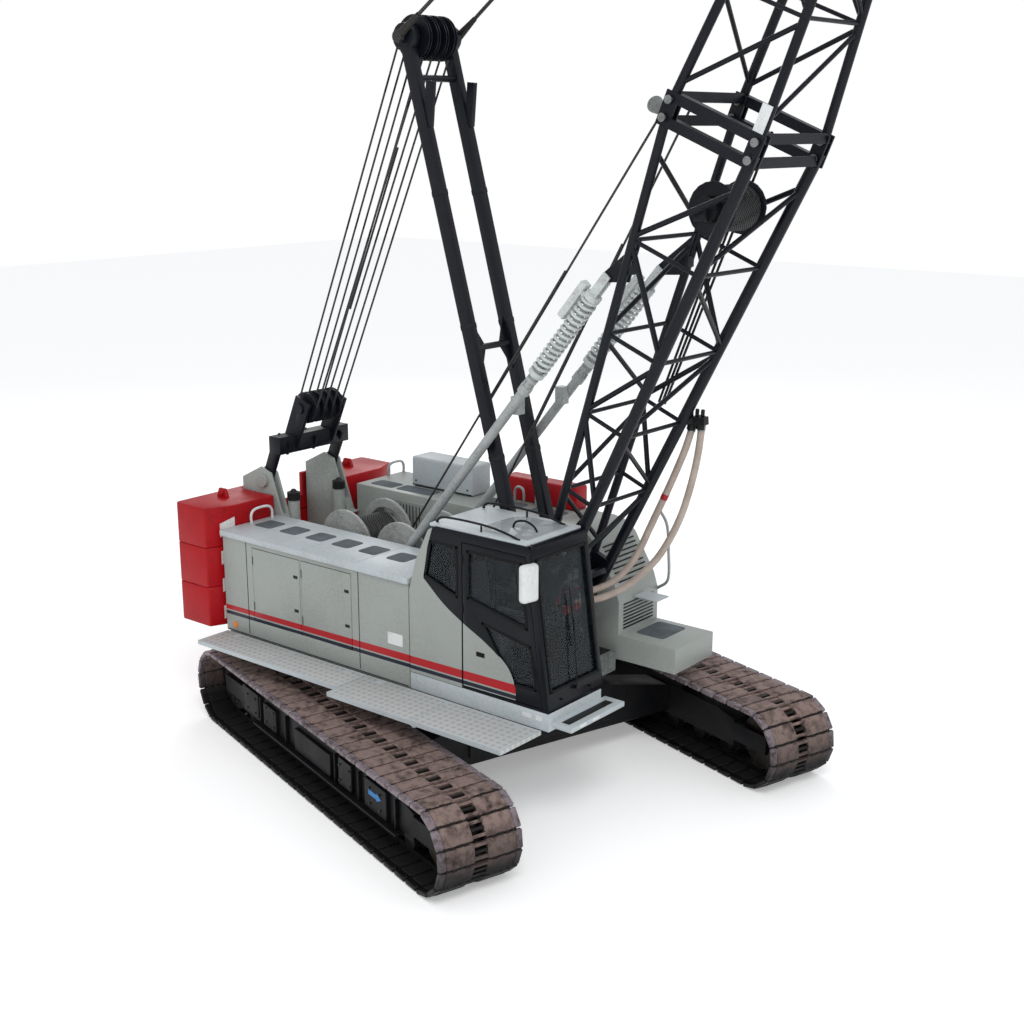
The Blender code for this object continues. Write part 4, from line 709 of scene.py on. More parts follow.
# ---------------------------------------------------------------- right house
# Pressed sheet steel in grey enamel, with a red and a navy stripe, a paler lid that
# overhangs, black anti-slip mats on top, and two doors held by black latches.
def striped(name, paint, dirt):
    """Grey enamel with the tapering red stripe and the thin navy one under it, on the outer sides."""
    material = coated(name, paint, dirt, 0.38, 0.30, patch=1.1, grain=30.0)
    tree = material.node_tree
    shader = tree.nodes["Principled BSDF"]
    under = shader.inputs["Base Color"].links[0].from_socket
    place = add_node(tree, "ShaderNodeTexCoord")
    axes = add_node(tree, "ShaderNodeSeparateXYZ", {}, {0: place.outputs["Object"]})
    off_middle = add_node(tree, "ShaderNodeMath", {"operation": "ABSOLUTE"}, {0: axes.outputs[1]})
    outside = add_node(
        tree,
        "ShaderNodeMath",
        {"operation": "GREATER_THAN", 1: 1.515},
        {0: off_middle.outputs[0]},
    )
    for colour, low_base, low_rise, high_base, high_rise in (
        ("a80a16", 1.480, 0.0086, 1.540, 0.0172),
        ("121a2a", 1.418, 0.0086, 1.462, 0.0086),
    ):
        mask = outside
        for base, rise, keep in (
            (low_base, low_rise, "GREATER_THAN"),
            (high_base, high_rise, "LESS_THAN"),
        ):
            line = add_node(
                tree,
                "ShaderNodeMath",
                {"operation": "MULTIPLY_ADD", 1: rise, 2: base + 3.13 * rise},
                {0: axes.outputs[0]},
            )
            test = add_node(
                tree,
                "ShaderNodeMath",
                {"operation": keep},
                {0: axes.outputs[2], 1: line.outputs[0]},
            )
            mask = add_node(
                tree,
                "ShaderNodeMath",
                {"operation": "MULTIPLY"},
                {0: mask.outputs[0], 1: test.outputs[0]},
            )
        laid = add_node(
            tree,
            "ShaderNodeMix",
            {"data_type": "RGBA", 7: linear(colour)},
            {0: mask.outputs[0], 6: under},
        )
        under = laid.outputs[2]
    tree.links.new(under, shader.inputs["Base Color"])
    return material


stripe_grey = striped("striped_grey_enamel", "979c98", "6f6d66")
lid_grey = coated("pale_grey_lid_enamel", "b4bcc0", "8a8880", 0.42, 0.35, patch=1.3, grain=28.0)
mat_black, tree, shader = bare_material("anti_slip_mat")
# grit rolled into black rubber paint: grains drawn about 6 mm wide so that they show
grit = texture(tree, "ShaderNodeTexVoronoi", {"Scale": 160.0})
wear = texture(tree, "ShaderNodeTexNoise", {"Scale": 4.0, "Detail": 6.0})
tree.links.new(blend(tree, "2e3438", "6a7378", wear), shader.inputs["Base Color"])
shader.inputs["Roughness"].default_value = 0.9
add_relief(tree, shader, grit, 0.4, 0.003)
latch_black = coated("black_latch_plastic", "0c0e11", "201f1e", 0.35, 0.4, patch=6.0, gloss=0.22)
plate_white = coated("blank_white_plate", "d5d8d8", "a6a49d", 0.4, 0.4, patch=5.0)
amber = coated("amber_reflector", "e07b1a", "8c4a12", 0.2, 0.3, patch=6.0)

refinish("house_right", "house_right_panels", "upper_works", "grey_enamel", stripe_grey, 0.010)
for place in ("rear", "front"):
    door = f"side_door_{place}"
    refinish(door, f"{door}_panel", f"door_side_{place}", "grey_enamel", stripe_grey, 0.008)
shape = bmesh.new()
add_box(shape, (-3.150, -1.556, 2.420), (-0.002, -0.598, 2.490))
for x in (-2.61, -1.75, -0.89):
    add_box(shape, (x - 0.012, -1.552, 2.484), (x + 0.012, -0.605, 2.494))
round_off(shape, 0.014)
piece(shape, "house_right_lid", "upper_works", "light_grey_enamel", lid_grey)


def hoop(start, end, shoulder, top, bend):
    """The route of a bent hoop between two feet: its shoulders' and top's heights over them."""
    start, end = Vector(start), Vector(end)
    along = (end - start).normalized() * bend
    up, rise = Vector((0, 0, shoulder)), Vector((0, 0, top))
    return [start, start + up, start + along + rise, end - along + rise, end + up, end]


def add_mat(shape, x, y, z, length, width):
    """One flat mat with rounded corners, stuck to a lid."""
    mat = bmesh.new()
    add_box(mat, (x, y, z - 0.002), (x + length, y + width, z + 0.005))
    upright = [e for e in mat.edges if abs((e.verts[0].co - e.verts[1].co).z) > 0.003]
    bmesh.ops.bevel(
        mat,
        geom=upright,
        offset=0.045,
        offset_type="OFFSET",
        affect="EDGES",
        segments=4,
        profile=0.5,
        material=-1,
    )
    flat = bpy.data.meshes.new("mat_source")
    mat.to_mesh(flat)
    mat.free()
    shape.from_mesh(flat)
    bpy.data.meshes.remove(flat)
    return shape


shape = bmesh.new()
for x in (-3.00, -2.545, -2.09, -1.64, -1.19, -0.74):
    add_mat(shape, x, -1.14, 2.490, 0.29, 0.29)
piece(shape, "house_right_mats", "upper_works", "black_enamel", mat_black)
shape = bmesh.new()
for x in (-2.70, -0.79):
    add_box(shape, (x - 0.004, -1.5345, 1.24), (x + 0.004, -1.526, 2.42))
add_box(shape, (-3.11, -1.5345, 1.214), (-0.03, -1.520, 1.224))
round_off(shape, 0.002, 1)
piece(shape, "house_right_seams", "upper_works", "black_enamel", latch_black)
for body, first, last in (("door_side_rear", -2.60, -1.765), ("door_side_front", -1.745, -0.91)):
    shape = bmesh.new()
    for z in (1.70, 2.12):
        add_box(shape, (last - 0.105, -1.5335, z), (last - 0.035, -1.525, z + 0.035))
        add_box(shape, (last - 0.085, -1.5355, z + 0.008), (last - 0.055, -1.528, z + 0.027))
    for z in (1.62, 2.20):
        add_rod(shape, (first + 0.012, -1.531, z - 0.05), (first + 0.012, -1.531, z + 0.05), 0.005, 8)
    piece(shape, f"{body}_latches", body, "black_enamel", latch_black)
shape = bmesh.new()
add_box(shape, (-0.34, -1.533, 1.66), (-0.11, -1.526, 1.80))
round_off(shape, 0.002, 1)
piece(shape, "house_right_blank_plates", "upper_works", "light_grey_enamel", plate_white)
shape = bmesh.new()
for side in (-1, 1):
    add_rod(shape, (-2.96, side * 1.522, 1.30), (-2.96, side * 1.537, 1.30), 0.042, 24)
round_off(shape, 0.002, 1)
piece(shape, "house_reflectors", "upper_works", "red_enamel", amber)
shape = bmesh.new()
add_pipe(shape, hoop((-3.08, -1.10, 2.49), (-3.08, -0.76, 2.49), 0.11, 0.17, 0.07), 0.017)
piece(shape, "house_right_rail", "upper_works", "light_grey_enamel", plate_white)


# ---------------------------------------------------------------- left house, engine and tank
# The taller engine house, its two outer doors, the air box and the red tank on its roof.
# Vents are slots pressed in its inner wall, and loop rails are bent from steel pipe.
red_paint = coated("red_tank_enamel", "a80c17", "4a100e", 0.36, 0.45, patch=2.0, gloss=0.22)
engine_paint = coated("oily_engine_paint", "33363a", "16120f", 0.5, 0.85, patch=4.0)
rail_steel = coated("galvanised_rail_pipe", "b3b7b8", "6c6a64", 0.35, 0.5, metallic=0.7)
refinish("house_left", "house_left_panels", "upper_works", "grey_enamel", stripe_grey, 0.010)
for place in ("rear", "front"):
    door = f"engine_door_{place}"
    refinish(door, f"{door}_panel", f"door_engine_{place}", "grey_enamel", stripe_grey, 0.008)
refinish("engine", "engine_block", "upper_works", "engine_iron", engine_paint, 0.03)
refinish("air_box", "air_box_casing", "upper_works", "light_grey_enamel", lid_grey, 0.035, 3)
refinish("red_tank", "red_tank_casing", "upper_works", "red_enamel", red_paint, 0.030, 3)
for body, first, last in (("door_engine_rear", -2.75, -1.56), ("door_engine_front", -1.54, -0.35)):
    shape = bmesh.new()
    for z in (1.70, 2.30):
        add_box(shape, (last - 0.12, 1.525, z), (last - 0.04, 1.534, z + 0.035))
    for z in (1.62, 2.40):
        add_rod(shape, (first + 0.012, 1.531, z - 0.05), (first + 0.012, 1.531, z + 0.05), 0.005, 8)
    for index in range(9):
        z = 1.95 + index * 0.028
        add_box(shape, (first + 0.25, 1.526, z), (first + 0.80, 1.5335, z + 0.012))
    piece(shape, f"{body}_latches", body, "black_enamel", latch_black)
shape = bmesh.new()
add_mat(shape, -2.80, 0.72, 2.700, 0.40, 0.24)
add_mat(shape, -2.34, 0.72, 2.700, 0.60, 0.24)
add_mat(shape, -1.05, 0.87, 2.700, 0.60, 0.29)
add_mat(shape, -0.30, 0.94, 2.700, 0.48, 0.23)
piece(shape, "house_left_mats", "upper_works", "black_enamel", mat_black)
shape = bmesh.new()
add_box(shape, (-2.30, 0.606, 2.20), (-1.72, 0.624, 2.60))
round_off(shape, 0.004, 1)
for index in range(9):
    x = -2.262 + 0.056 * index
    add_box(shape, (x, 0.603, 2.24), (x + 0.012, 0.610, 2.56), finish=1)
piece(shape, "house_left_vent", "upper_works", "grey_enamel", body_grey, latch_black)
shape = bmesh.new()
for points in (
    hoop((-2.92, 1.20, 2.70), (-2.92, 1.50, 2.70), 0.10, 0.16, 0.06),
    hoop((-0.66, 1.14, 2.70), (-0.52, 1.14, 2.70), 0.16, 0.21, 0.04),
    hoop((-0.32, 1.14, 2.70), (-0.18, 1.14, 2.70), 0.16, 0.21, 0.04),
    [
        (1.27, 1.50, 2.86), (1.38, 1.50, 2.68), (1.42, 1.49, 2.35),
        (1.42, 1.49, 2.02), (1.27, 1.49, 1.88),
    ],
):
    add_pipe(shape, points, 0.018)
piece(shape, "house_left_rails", "upper_works", "bare_steel", rail_steel)
shape = bmesh.new()
add_box(shape, (-2.285, 0.993, 2.716), (-1.265, 1.003, 2.728), finish=1)
for x in (-2.22, -1.33):
    add_rod(shape, (x, 0.990, 2.78), (x, 1.003, 2.78), 0.012, 6, finish=1)
add_rod(shape, (-0.40, 1.385, 2.97), (-0.40, 1.385, 3.035), 0.055, 20)
piece(shape, "roof_grilles_and_caps", "upper_works", "black_enamel", rib_black, latch_black)


# ---------------------------------------------------------------- left cowl and deck box
# The sloping front of the engine house and the low box ahead of it, in grey sheet steel.
# Cooling louvres are pressed in rows, and a small shelf folds out from the front.
refinish("cowl_left", "cowl_left_panels", "upper_works", "grey_enamel", stripe_grey, 0.012)
shape = bmesh.new()
for index in range(8):
    z = 1.55 + 0.042 * index
    add_box(shape, (1.262, 0.78, z), (1.276, 1.40, z + 0.018))
foot, head = Vector((1.21, 0, 2.08)), Vector((0.93, 0, 2.54))
lean = Matrix.Rotation(math.atan2(head.x - foot.x, head.z - foot.z), 4, "Y")
for index in range(9):
    spot = Matrix.Translation(foot.lerp(head, 0.06 + 0.105 * index))
    add_box(shape, (-0.002, 0.78, -0.009), (0.014, 1.40, 0.009), matrix=spot @ lean)
piece(shape, "cowl_left_louvres", "upper_works", "black_enamel", latch_black)
shape = bmesh.new()
add_box(shape, (1.26, 0.98, 1.895), (1.60, 1.24, 1.912))
add_box(shape, (1.26, 1.10, 1.84), (1.40, 1.12, 1.90))
round_off(shape, 0.005, 1)
piece(shape, "cowl_left_shelf", "upper_works", "light_grey_enamel", lid_grey)
shape = bmesh.new()
add_mat(shape, 1.37, 0.89, 1.499, 0.39, 0.51)
piece(shape, "deck_box_mat", "upper_works", "black_enamel", mat_black)


# ---------------------------------------------------------------- cab
# A black enamelled steel cab with grey lower skins, bonded tinted glass in rubber gaskets,
# a pale roof cover, a wiper and black roof rails. The seat shows through the glass.
cab_black = coated("black_cab_enamel", "0b0e14", "202226", 0.24, 0.25, patch=2.0, gloss=0.18)
gasket = coated("black_rubber_gasket", "090a0c", "1a1a1c", 0.55, 0.3, patch=6.0, gloss=0.2)
seat_cloth, tree, shader = bare_material("ribbed_seat_cloth")
# woven seat cloth, its ribs drawn 8 mm apart so that they show through the glass
ribbed = {"bands_direction": "Y", "Scale": 40.0, "Distortion": 0.4}
ribs = texture(tree, "ShaderNodeTexWave", ribbed)
tree.links.new(blend(tree, "2b2d33", "4a4d55", ribs), shader.inputs["Base Color"])
shader.inputs["Roughness"].default_value = 0.95
shader.inputs["Sheen Weight"].default_value = 0.3
add_relief(tree, shader, ribs, 0.4, 0.004)

tinted, tree, shader = bare_material("tinted_safety_glass")
# dark tinted glass with a film of dust that dulls it unevenly
film = texture(tree, "ShaderNodeTexNoise", {"Scale": 2.0, "Detail": 5.0})
tree.links.new(blend(tree, "0f181d", "1d2a30", film), shader.inputs["Base Color"])
tree.links.new(map_range(tree, film, 0.3, 0.7, 0.03, 0.10), shader.inputs["Roughness"])
shader.inputs["IOR"].default_value = 1.52
shader.inputs["Alpha"].default_value = 0.26

for node in ("windscreen", "roof_window", "quarter_window", "left_window"):
    paint_node(node, tinted)
refinish("cab_shell", "cab_shell_weldment", "upper_works", "black_enamel", cab_black, 0.012)
refinish("cab_base", "cab_base_plinth", "upper_works", "grey_enamel", lid_grey, 0.010)
refinish("operator_seat", "operator_seat_padding", "upper_works", "seat_fabric", seat_cloth, 0.030, 4)


def screen_x(z):
    """The windscreen's outer face, which leans back as it rises."""
    return 1.945 - 0.1438 * (z - 1.454)


sweep_points = [
    (1.510, 0, 1.445), (1.500, 0, 1.600), (1.380, 0, 1.810), (1.100, 0, 1.990),
    (0.775, 0, 2.150), (0.500, 0, 2.310), (0.220, 0, 2.540),
]
sweep = [(point.x, point.z) for point in on_curve(sweep_points, 0.05)]
shape = bmesh.new()
door_split = 0.775
behind = [point for point in sweep if point[0] < door_split - 0.010]
ahead = [point for point in sweep if point[0] > door_split + 0.010]
outline = [(0.004, 1.405), (0.765, 1.405), (0.765, 2.155)] + behind
outline += [(0.285, 2.90), (0.36, 3.130), (0.30, 3.10), (0.11, 2.72), (0.004, 2.36)]
add_plate(shape, outline, -1.536, -1.524)
round_off(shape, 0.003, 1)
piece(shape, "cab_side_skin", "upper_works", "grey_enamel", stripe_grey)
shape = bmesh.new()
add_plate(shape, [(0.785, 1.437)] + ahead + [(0.785, 2.145)], -1.535, -1.524)
round_off(shape, 0.003, 1)
piece(shape, "cab_door_skin", "door_cab", "grey_enamel", stripe_grey)
refinish("cab_door", "cab_door_frame", "door_cab", "black_enamel", cab_black, 0.008)
for node in ("door_window_upper", "door_window_lower"):
    paint_node(node, tinted)


def add_rim(shape, outline, y, thick, width):
    """A rubber rim round an opening: a flat strip along the outline, proud of the panel."""
    points = [Vector((a, 0, b)) for a, b in outline]
    for first, last in zip(points, points[1:] + points[:1]):
        along = (last - first).normalized()
        across = Vector((-along.z, 0, along.x)) * (width / 2)
        corners = [first - along * width / 2 + across, last + along * width / 2 + across]
        corners += [last + along * width / 2 - across, first - along * width / 2 - across]
        add_plate(shape, [(corner.x, corner.z) for corner in corners], y, y + thick)
    return shape


quarter = [(0.24, 2.58), (0.70, 2.42), (0.70, 2.97), (0.33, 2.97)]
upper_light = [(0.86, 2.44), (1.655, 2.27), (1.575, 2.955), (0.86, 2.955)]
lower_light = [(1.06, 2.20), (1.44, 1.62), (1.775, 1.62), (1.70, 2.08)]
far_light = [(0.35, 1.95), (1.72, 1.95), (1.60, 2.95), (0.45, 2.95)]
shape = bmesh.new()
add_rim(shape, quarter, -1.528, -0.008, 0.030)
add_rim(shape, far_light, -0.570, 0.010, 0.030)
round_off(shape, 0.003, 1)
piece(shape, "cab_window_gaskets", "upper_works", "black_enamel", gasket)
shape = bmesh.new()
add_rim(shape, upper_light, -1.528, -0.008, 0.030)
add_rim(shape, lower_light, -1.528, -0.006, 0.030)
add_box(shape, (0.97, -1.5365, 1.815), (1.09, -1.524, 1.870))
add_box(shape, (0.99, -1.542, 1.835), (1.07, -1.530, 1.855))
for z in (1.62, 2.30, 2.86):
    add_rod(shape, (0.782, -1.532, z - 0.045), (0.782, -1.532, z + 0.045), 0.007, 10)
round_off(shape, 0.003, 1)
piece(shape, "cab_door_gaskets", "door_cab", "black_enamel", gasket)

# the front screen's gasket, its wiper, the mesh guard in the far light, and the mirror's shell
shape = bmesh.new()
screen_lean = math.atan2(screen_x(1.62) - screen_x(3.0), 3.0 - 1.62)
screen_turn = Matrix.Rotation(-screen_lean, 4, "Y")
for right, left, low, high in (
    (-1.475, -1.445, 1.600, 3.020),
    (-0.650, -0.620, 1.600, 3.020),
    (-1.475, -0.620, 1.600, 1.630),
    (-1.475, -0.620, 2.990, 3.020),
):
    spot = Matrix.Translation((screen_x(low) + 0.002, 0, low))
    rise = (high - low) / math.cos(screen_lean)
    add_box(shape, (-0.008, right, 0.0), (0.010, left, rise), matrix=spot @ screen_turn)
round_off(shape, 0.003, 1)
piece(shape, "windscreen_gasket", "upper_works", "black_enamel", gasket)
shape = bmesh.new()
wiper_x = screen_x(1.56)
add_rod(shape, (wiper_x + 0.004, -1.05, 1.56), (wiper_x + 0.035, -1.05, 1.565), 0.022, 16)
wiper_arm = [
    (wiper_x + 0.028, -1.05, 1.56),
    (screen_x(1.9) + 0.030, -1.02, 1.90),
    (screen_x(2.3) + 0.024, -0.98, 2.30),
]
add_pipe(shape, wiper_arm, 0.007)
spot = Matrix.Translation((screen_x(2.30) + 0.012, -0.98, 2.30))
add_box(shape, (-0.006, -0.006, -0.32), (0.006, 0.006, 0.32), matrix=spot @ screen_turn)
for y in (-1.30, -0.80):
    add_rod(shape, (screen_x(1.50), y, 1.50), (screen_x(1.50) + 0.02, y, 1.50), 0.012, 12)
piece(shape, "windscreen_wiper", "upper_works", "black_enamel", latch_black)
shape = bmesh.new()
for index in range(17):
    x = 0.42 + 0.078 * index
    top = 2.95 if x < 1.60 else 2.95 - (x - 1.60) * 8.3
    add_rod(shape, (x, -0.548, 1.96), (x, -0.548, max(2.0, top)), 0.004, 6)
for index in range(11):
    z = 2.02 + 0.085 * index
    add_rod(shape, (0.40, -0.552, z), (1.70 - 0.12 * (z - 1.95), -0.552, z), 0.004, 6)
piece(shape, "cab_mesh_guard", "upper_works", "black_enamel", latch_black)
shape = bmesh.new()
add_box(shape, (-0.050, -0.108, -0.200), (0.050, 0.108, 0.200))
round_off(shape, 0.042, 5)
spot = Matrix.Translation((1.815, -1.700, 2.84))
mirror_turn = Matrix.Rotation(math.radians(-12), 4, "Z")
bmesh.ops.transform(shape, matrix=spot @ mirror_turn, verts=shape.verts)
piece(shape, "mirror_shell", "upper_works", "light_grey_enamel", plate_white)
shape = bmesh.new()
add_pipe(shape, [(1.70, -1.50, 3.06), (1.78, -1.60, 3.07), (1.805, -1.70, 3.03)], 0.010)
side_rail = ((0.35, 3.14), (0.37, 3.20), (0.49, 3.25), (1.07, 3.25), (1.47, 3.18), (1.53, 3.12))
for y in (-1.45, -0.68):
    add_pipe(shape, [(x, y, z) for x, z in side_rail], 0.013)
    for x, top in ((0.37, 3.19), (0.98, 3.24), (1.49, 3.19)):
        add_rod(shape, (x, y, 3.13), (x, y, top), 0.011, 10)
grab_bar = ((1.12, 3.15), (1.16, 3.24), (1.30, 3.27), (1.42, 3.22), (1.46, 3.14))
add_pipe(shape, [(x, -1.10, z) for x, z in grab_bar], 0.012)
piece(shape, "cab_roof_rails", "upper_works", "black_enamel", latch_black)
shape = bmesh.new()
add_box(shape, (0.30, -1.515, 3.135), (1.64, -0.58, 3.175))
round_off(shape, 0.016, 3)
piece(shape, "cab_roof_cover", "upper_works", "light_grey_enamel", lid_grey)
shape = bmesh.new()
roof_light = [
    (0.98, -1.40), (1.56, -1.40), (1.56, -0.70), (0.98, -0.70),
    (0.90, -0.76), (0.87, -0.90), (0.87, -1.20), (0.90, -1.34),
]
add_plate(shape, roof_light, 3.165, 3.186, plane="XY")
round_off(shape, 0.008, 2)
piece(shape, "cab_roof_light", "upper_works", "tinted_glass", tinted)
shape = bmesh.new()
add_box(shape, (2.02, -1.40, 1.285), (2.12, -0.62, 1.293))
piece(shape, "cab_step_slot", "upper_works", "black_enamel", latch_black)
shape = bmesh.new()
for y in (-1.33, -1.10):
    add_box(shape, (2.1985, y, 1.252), (2.203, y + 0.12, 1.282))
for start, end in ((1.60, 1.72), (1.78, 1.86)):
    add_box(shape, (start, -1.533, 1.30), (end, -1.529, 1.35))
piece(shape, "cab_blank_labels", "upper_works", "light_grey_enamel", plate_white)
shape = bmesh.new()
add_box(shape, (1.30, -1.20, 1.80), (1.48, -0.90, 1.98))
for y in (-1.30, -0.80):
    add_pipe(shape, [(1.12, y, 2.05), (1.13, y, 2.22)], 0.012)
    knob = Matrix.Translation((1.13, y, 2.24))
    bmesh.ops.create_uvsphere(shape, u_segments=16, v_segments=10, radius=0.032, matrix=knob)
round_off(shape, 0.010, 2)
piece(shape, "cab_console_details", "upper_works", "black_enamel", latch_black)


# ---------------------------------------------------------------- walkways
# Folding catwalks of grey enamelled chequer plate on bent brackets, hinged along the houses.
# The plate's raised bars cross at right angles, and its edges are turned down.
tread_grey, tree, shader = bare_material("grey_enamelled_chequer_plate")
# raised bars drawn about 90 mm apart, wider than real ones so that they show
bars = [
    texture(tree, "ShaderNodeTexWave", {"bands_direction": direction, "Scale": 3.6})
    for direction in ("X", "Y")
]
crossed = add_node(
    tree, "ShaderNodeMath", {"operation": "MULTIPLY"}, {0: bars[0], 1: bars[1]}
).outputs[0]
scuff = texture(tree, "ShaderNodeTexNoise", {"Scale": 3.0, "Detail": 6.0})
tree.links.new(blend(tree, "bdbfbf", "a2a3a3", crossed), shader.inputs["Base Color"])
tree.links.new(map_range(tree, scuff, 0.3, 0.7, 0.4, 0.65), shader.inputs["Roughness"])
add_relief(tree, shader, crossed, 0.6, 0.006)

for node, body in (
    ("walkway_right_rear", "walk_right_rear"),
    ("walkway_right_front", "walk_right_front"),
    ("walkway_left", "walk_left"),
):
    refinish(node, f"{node}_plate", body, "grey_enamel", tread_grey, 0.004, 2)
    low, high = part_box(node)
    hinge_y = high[1] if low[1] < 0 else low[1]
    edge_y = low[1] if low[1] < 0 else high[1]
    side = -1 if low[1] < 0 else 1
    shape = bmesh.new()
    count = max(2, round((high[0] - low[0]) / 0.8))
    for index in range(count):
        x = low[0] + 0.25 + index * (high[0] - low[0] - 0.5) / (count - 1)
        near, far = hinge_y + side * 0.006, hinge_y + side * 0.10
        add_box(shape, (x - 0.03, near, 1.196), (x + 0.03, far, 1.202))
        knuckle = (hinge_y + side * 0.016, 1.193)
        add_rod(shape, (x - 0.035, *knuckle), (x + 0.035, *knuckle), 0.010, 10)
        bolt_y = hinge_y + side * 0.065
        add_rod(shape, (x, bolt_y, 1.198), (x, bolt_y, 1.205), 0.010, 6)
    near, far = edge_y - side * 0.010, edge_y + side * 0.003
    add_box(shape, (low[0] + 0.01, near, 1.150), (high[0] - 0.01, far, 1.203))
    near = hinge_y + side * 0.02
    for x in (low[0] + 0.01, high[0] - 0.022):
        add_box(shape, (x, near, 1.196), (x + 0.012, edge_y, 1.204))
    middle = (low[0] + high[0]) / 2
    for x in (middle - 0.011, middle + 0.003):
        add_box(shape, (x, near, 1.196), (x + 0.008, edge_y, 1.2035))
    round_off(shape, 0.002, 1)
    piece(shape, f"{node}_hinges", body, "grey_enamel", lid_grey)


# ---------------------------------------------------------------- winch drums
# Three cast drums with pale flanges and brake rims, wound with greased wire rope.
# Each turns between the deck's winch plates.
drum_grey = coated("pale_grey_drum_enamel", "a3a6a4", "57544c", 0.38, 0.6, patch=3.0)
rope_steel, tree, shader = bare_material("greased_wire_rope")
# stranded steel rope with black grease: the strands drawn 20 mm apart so that they show
stranded = {"bands_direction": "DIAGONAL", "Scale": 16.0, "Distortion": 0.3}
strands = texture(tree, "ShaderNodeTexWave", stranded)
tree.links.new(blend(tree, "1d1d1e", "4c4c4d", strands), shader.inputs["Base Color"])
shader.inputs["Metallic"].default_value = 0.6
shader.inputs["Roughness"].default_value = 0.45
add_relief(tree, shader, strands, 0.6, 0.004)


def add_lays(shape, axle, reach, first_y, pitch, count, steps):
    """Lays of rope side by side round a drum, each made as a ring about the axle (x, z)."""
    x, z = axle
    upright = Matrix.Rotation(math.radians(90), 4, "X") @ Matrix.Rotation(math.radians(90), 4, "Y")
    for lay in range(count):
        y = first_y + pitch * lay
        section = bmesh.ops.create_circle(
            shape,
            segments=8,
            radius=0.0145,
            matrix=Matrix.Translation((x, y, z + reach)) @ upright,
        )["verts"]
        bmesh.ops.spin(
            shape,
            geom=section + list({edge for vert in section for edge in vert.link_edges}),
            cent=(x, y, z),
            axis=(0, 1, 0),
            angle=math.tau,
            steps=steps,
            use_merge=True,
        )


drum_z = 2.23
for node, body, x in (
    ("boom_hoist_drum", "drum_hoist", -2.15),
    ("rear_drum", "drum_rear", -1.20),
    ("front_drum", "drum_front", -0.25),
):
    refinish(node, f"{node}_casting", body, "light_grey_enamel", drum_grey, 0.008, 2)
    shape = bmesh.new()
    for side in (-1, 1):
        for ring, wide in ((0.425, 0.010), (0.33, 0.030), (0.25, 0.055), (0.14, 0.085)):
            rim_y = side * (0.385 + wide * 0.4)
            add_rod(shape, (x, side * 0.340, drum_z), (x, rim_y, drum_z), ring, 40)
        for step in range(8):
            angle = math.radians(step * 45 + 10)
            bolt_x, bolt_z = x + 0.35 * math.cos(angle), drum_z + 0.35 * math.sin(angle)
            add_rod(shape, (bolt_x, side * 0.385, bolt_z), (bolt_x, side * 0.397, bolt_z), 0.016, 6)
    piece(shape, f"{node}_rings", body, "light_grey_enamel", drum_grey)
    shape = bmesh.new()
    add_lays(shape, (x, drum_z), 0.2665, -0.325, 0.0282, 23, 40)
    piece(shape, f"{node}_rope", body, "wire_rope", rope_steel)


# ---------------------------------------------------------------- boom base section
# A welded lattice of steel tubes in black enamel: four chords that meet at the foot eyes,
# zigzag lacing on all four faces, and pinned lugs where the top section joins.
boom_black = coated("black_boom_enamel", "0c0f17", "25272c", 0.34, 0.35, patch=2.0, gloss=0.22)
boom_angle = math.radians(67.7)
foot_pin = (0.819, 1.646)
base_length, joint_gap, top_length, head_reach = 6.05, 0.014, 6.10, 0.40
half_depth, half_width = 0.514, 0.6376
joint_u = base_length + joint_gap
last_u = joint_u + top_length - head_reach
head_u = joint_u + top_length


def along_boom(u, v, y):
    """A point u along the boom from its foot pin, v behind its centre line."""
    cosine, sine = math.cos(boom_angle), math.sin(boom_angle)
    return Vector((foot_pin[0] + u * cosine - v * sine, y, foot_pin[1] + u * sine + v * cosine))


def flat_outline(places):
    """An outline in X and Z of places given as distances along and behind the boom's line."""
    return [(at.x, at.z) for at in (along_boom(u, v, 0) for u, v in places)]


def on_chord(u, side, face):
    """A chord's centre: side is -1 right or 1 left, face is 1 rear or -1 front."""
    if u <= base_length:
        deep = 0.045 + (half_depth - 0.045) * u / base_length
        wide = 0.450 + (half_width - 0.450) * u / base_length
    else:
        scale = 1 - 0.78 * (u - joint_u) / (last_u - joint_u)
        deep, wide = half_depth * scale, half_width * scale
    return along_boom(u, face * deep, side * wide)


def add_lacing(shape, stations, radius):
    """Zigzag tubes on the four faces of the boom, with a weld bead at each end."""
    for index, (low, high) in enumerate(zip(stations, stations[1:])):
        way = 1 if index % 2 == 0 else -1
        for side in (-1, 1):
            ends = on_chord(low + 0.045, side, way), on_chord(high - 0.045, side, -way)
            add_rod(shape, *ends, radius, 12)
            for end in ends:
                bmesh.ops.create_icosphere(
                    shape, subdivisions=2, radius=radius * 1.35, matrix=Matrix.Translation(end)
                )
        for face in (-1, 1):
            ends = on_chord(low + 0.072, way * face, face), on_chord(high - 0.072, -way * face, face)
            add_rod(shape, *ends, radius * 0.9, 12)
    for u in stations[1:-1]:
        for face in (-1, 1):
            add_rod(shape, on_chord(u, -1, face), on_chord(u, 1, face), radius * 0.8, 12)
        for side in (-1, 1):
            add_rod(shape, on_chord(u, side, -1), on_chord(u, side, 1), radius * 0.8, 12)


def add_beam(shape, start, end, half_across, half_deep, finish=0):
    """A square bar between two points, half_across being along Y where it can."""
    start, end = Vector(start), Vector(end)
    along = end - start
    turn = along.to_track_quat("Z", "Y").to_matrix().to_4x4()
    matrix = Matrix.Translation((start + end) / 2) @ turn
    size = Matrix.Diagonal((2 * half_across, 2 * half_deep, along.length, 1.0))
    made = bmesh.ops.create_cube(shape, size=1.0, matrix=matrix @ size)
    for face in {f for v in made["verts"] for f in v.link_faces}:
        face.material_index = finish
    return made["verts"]


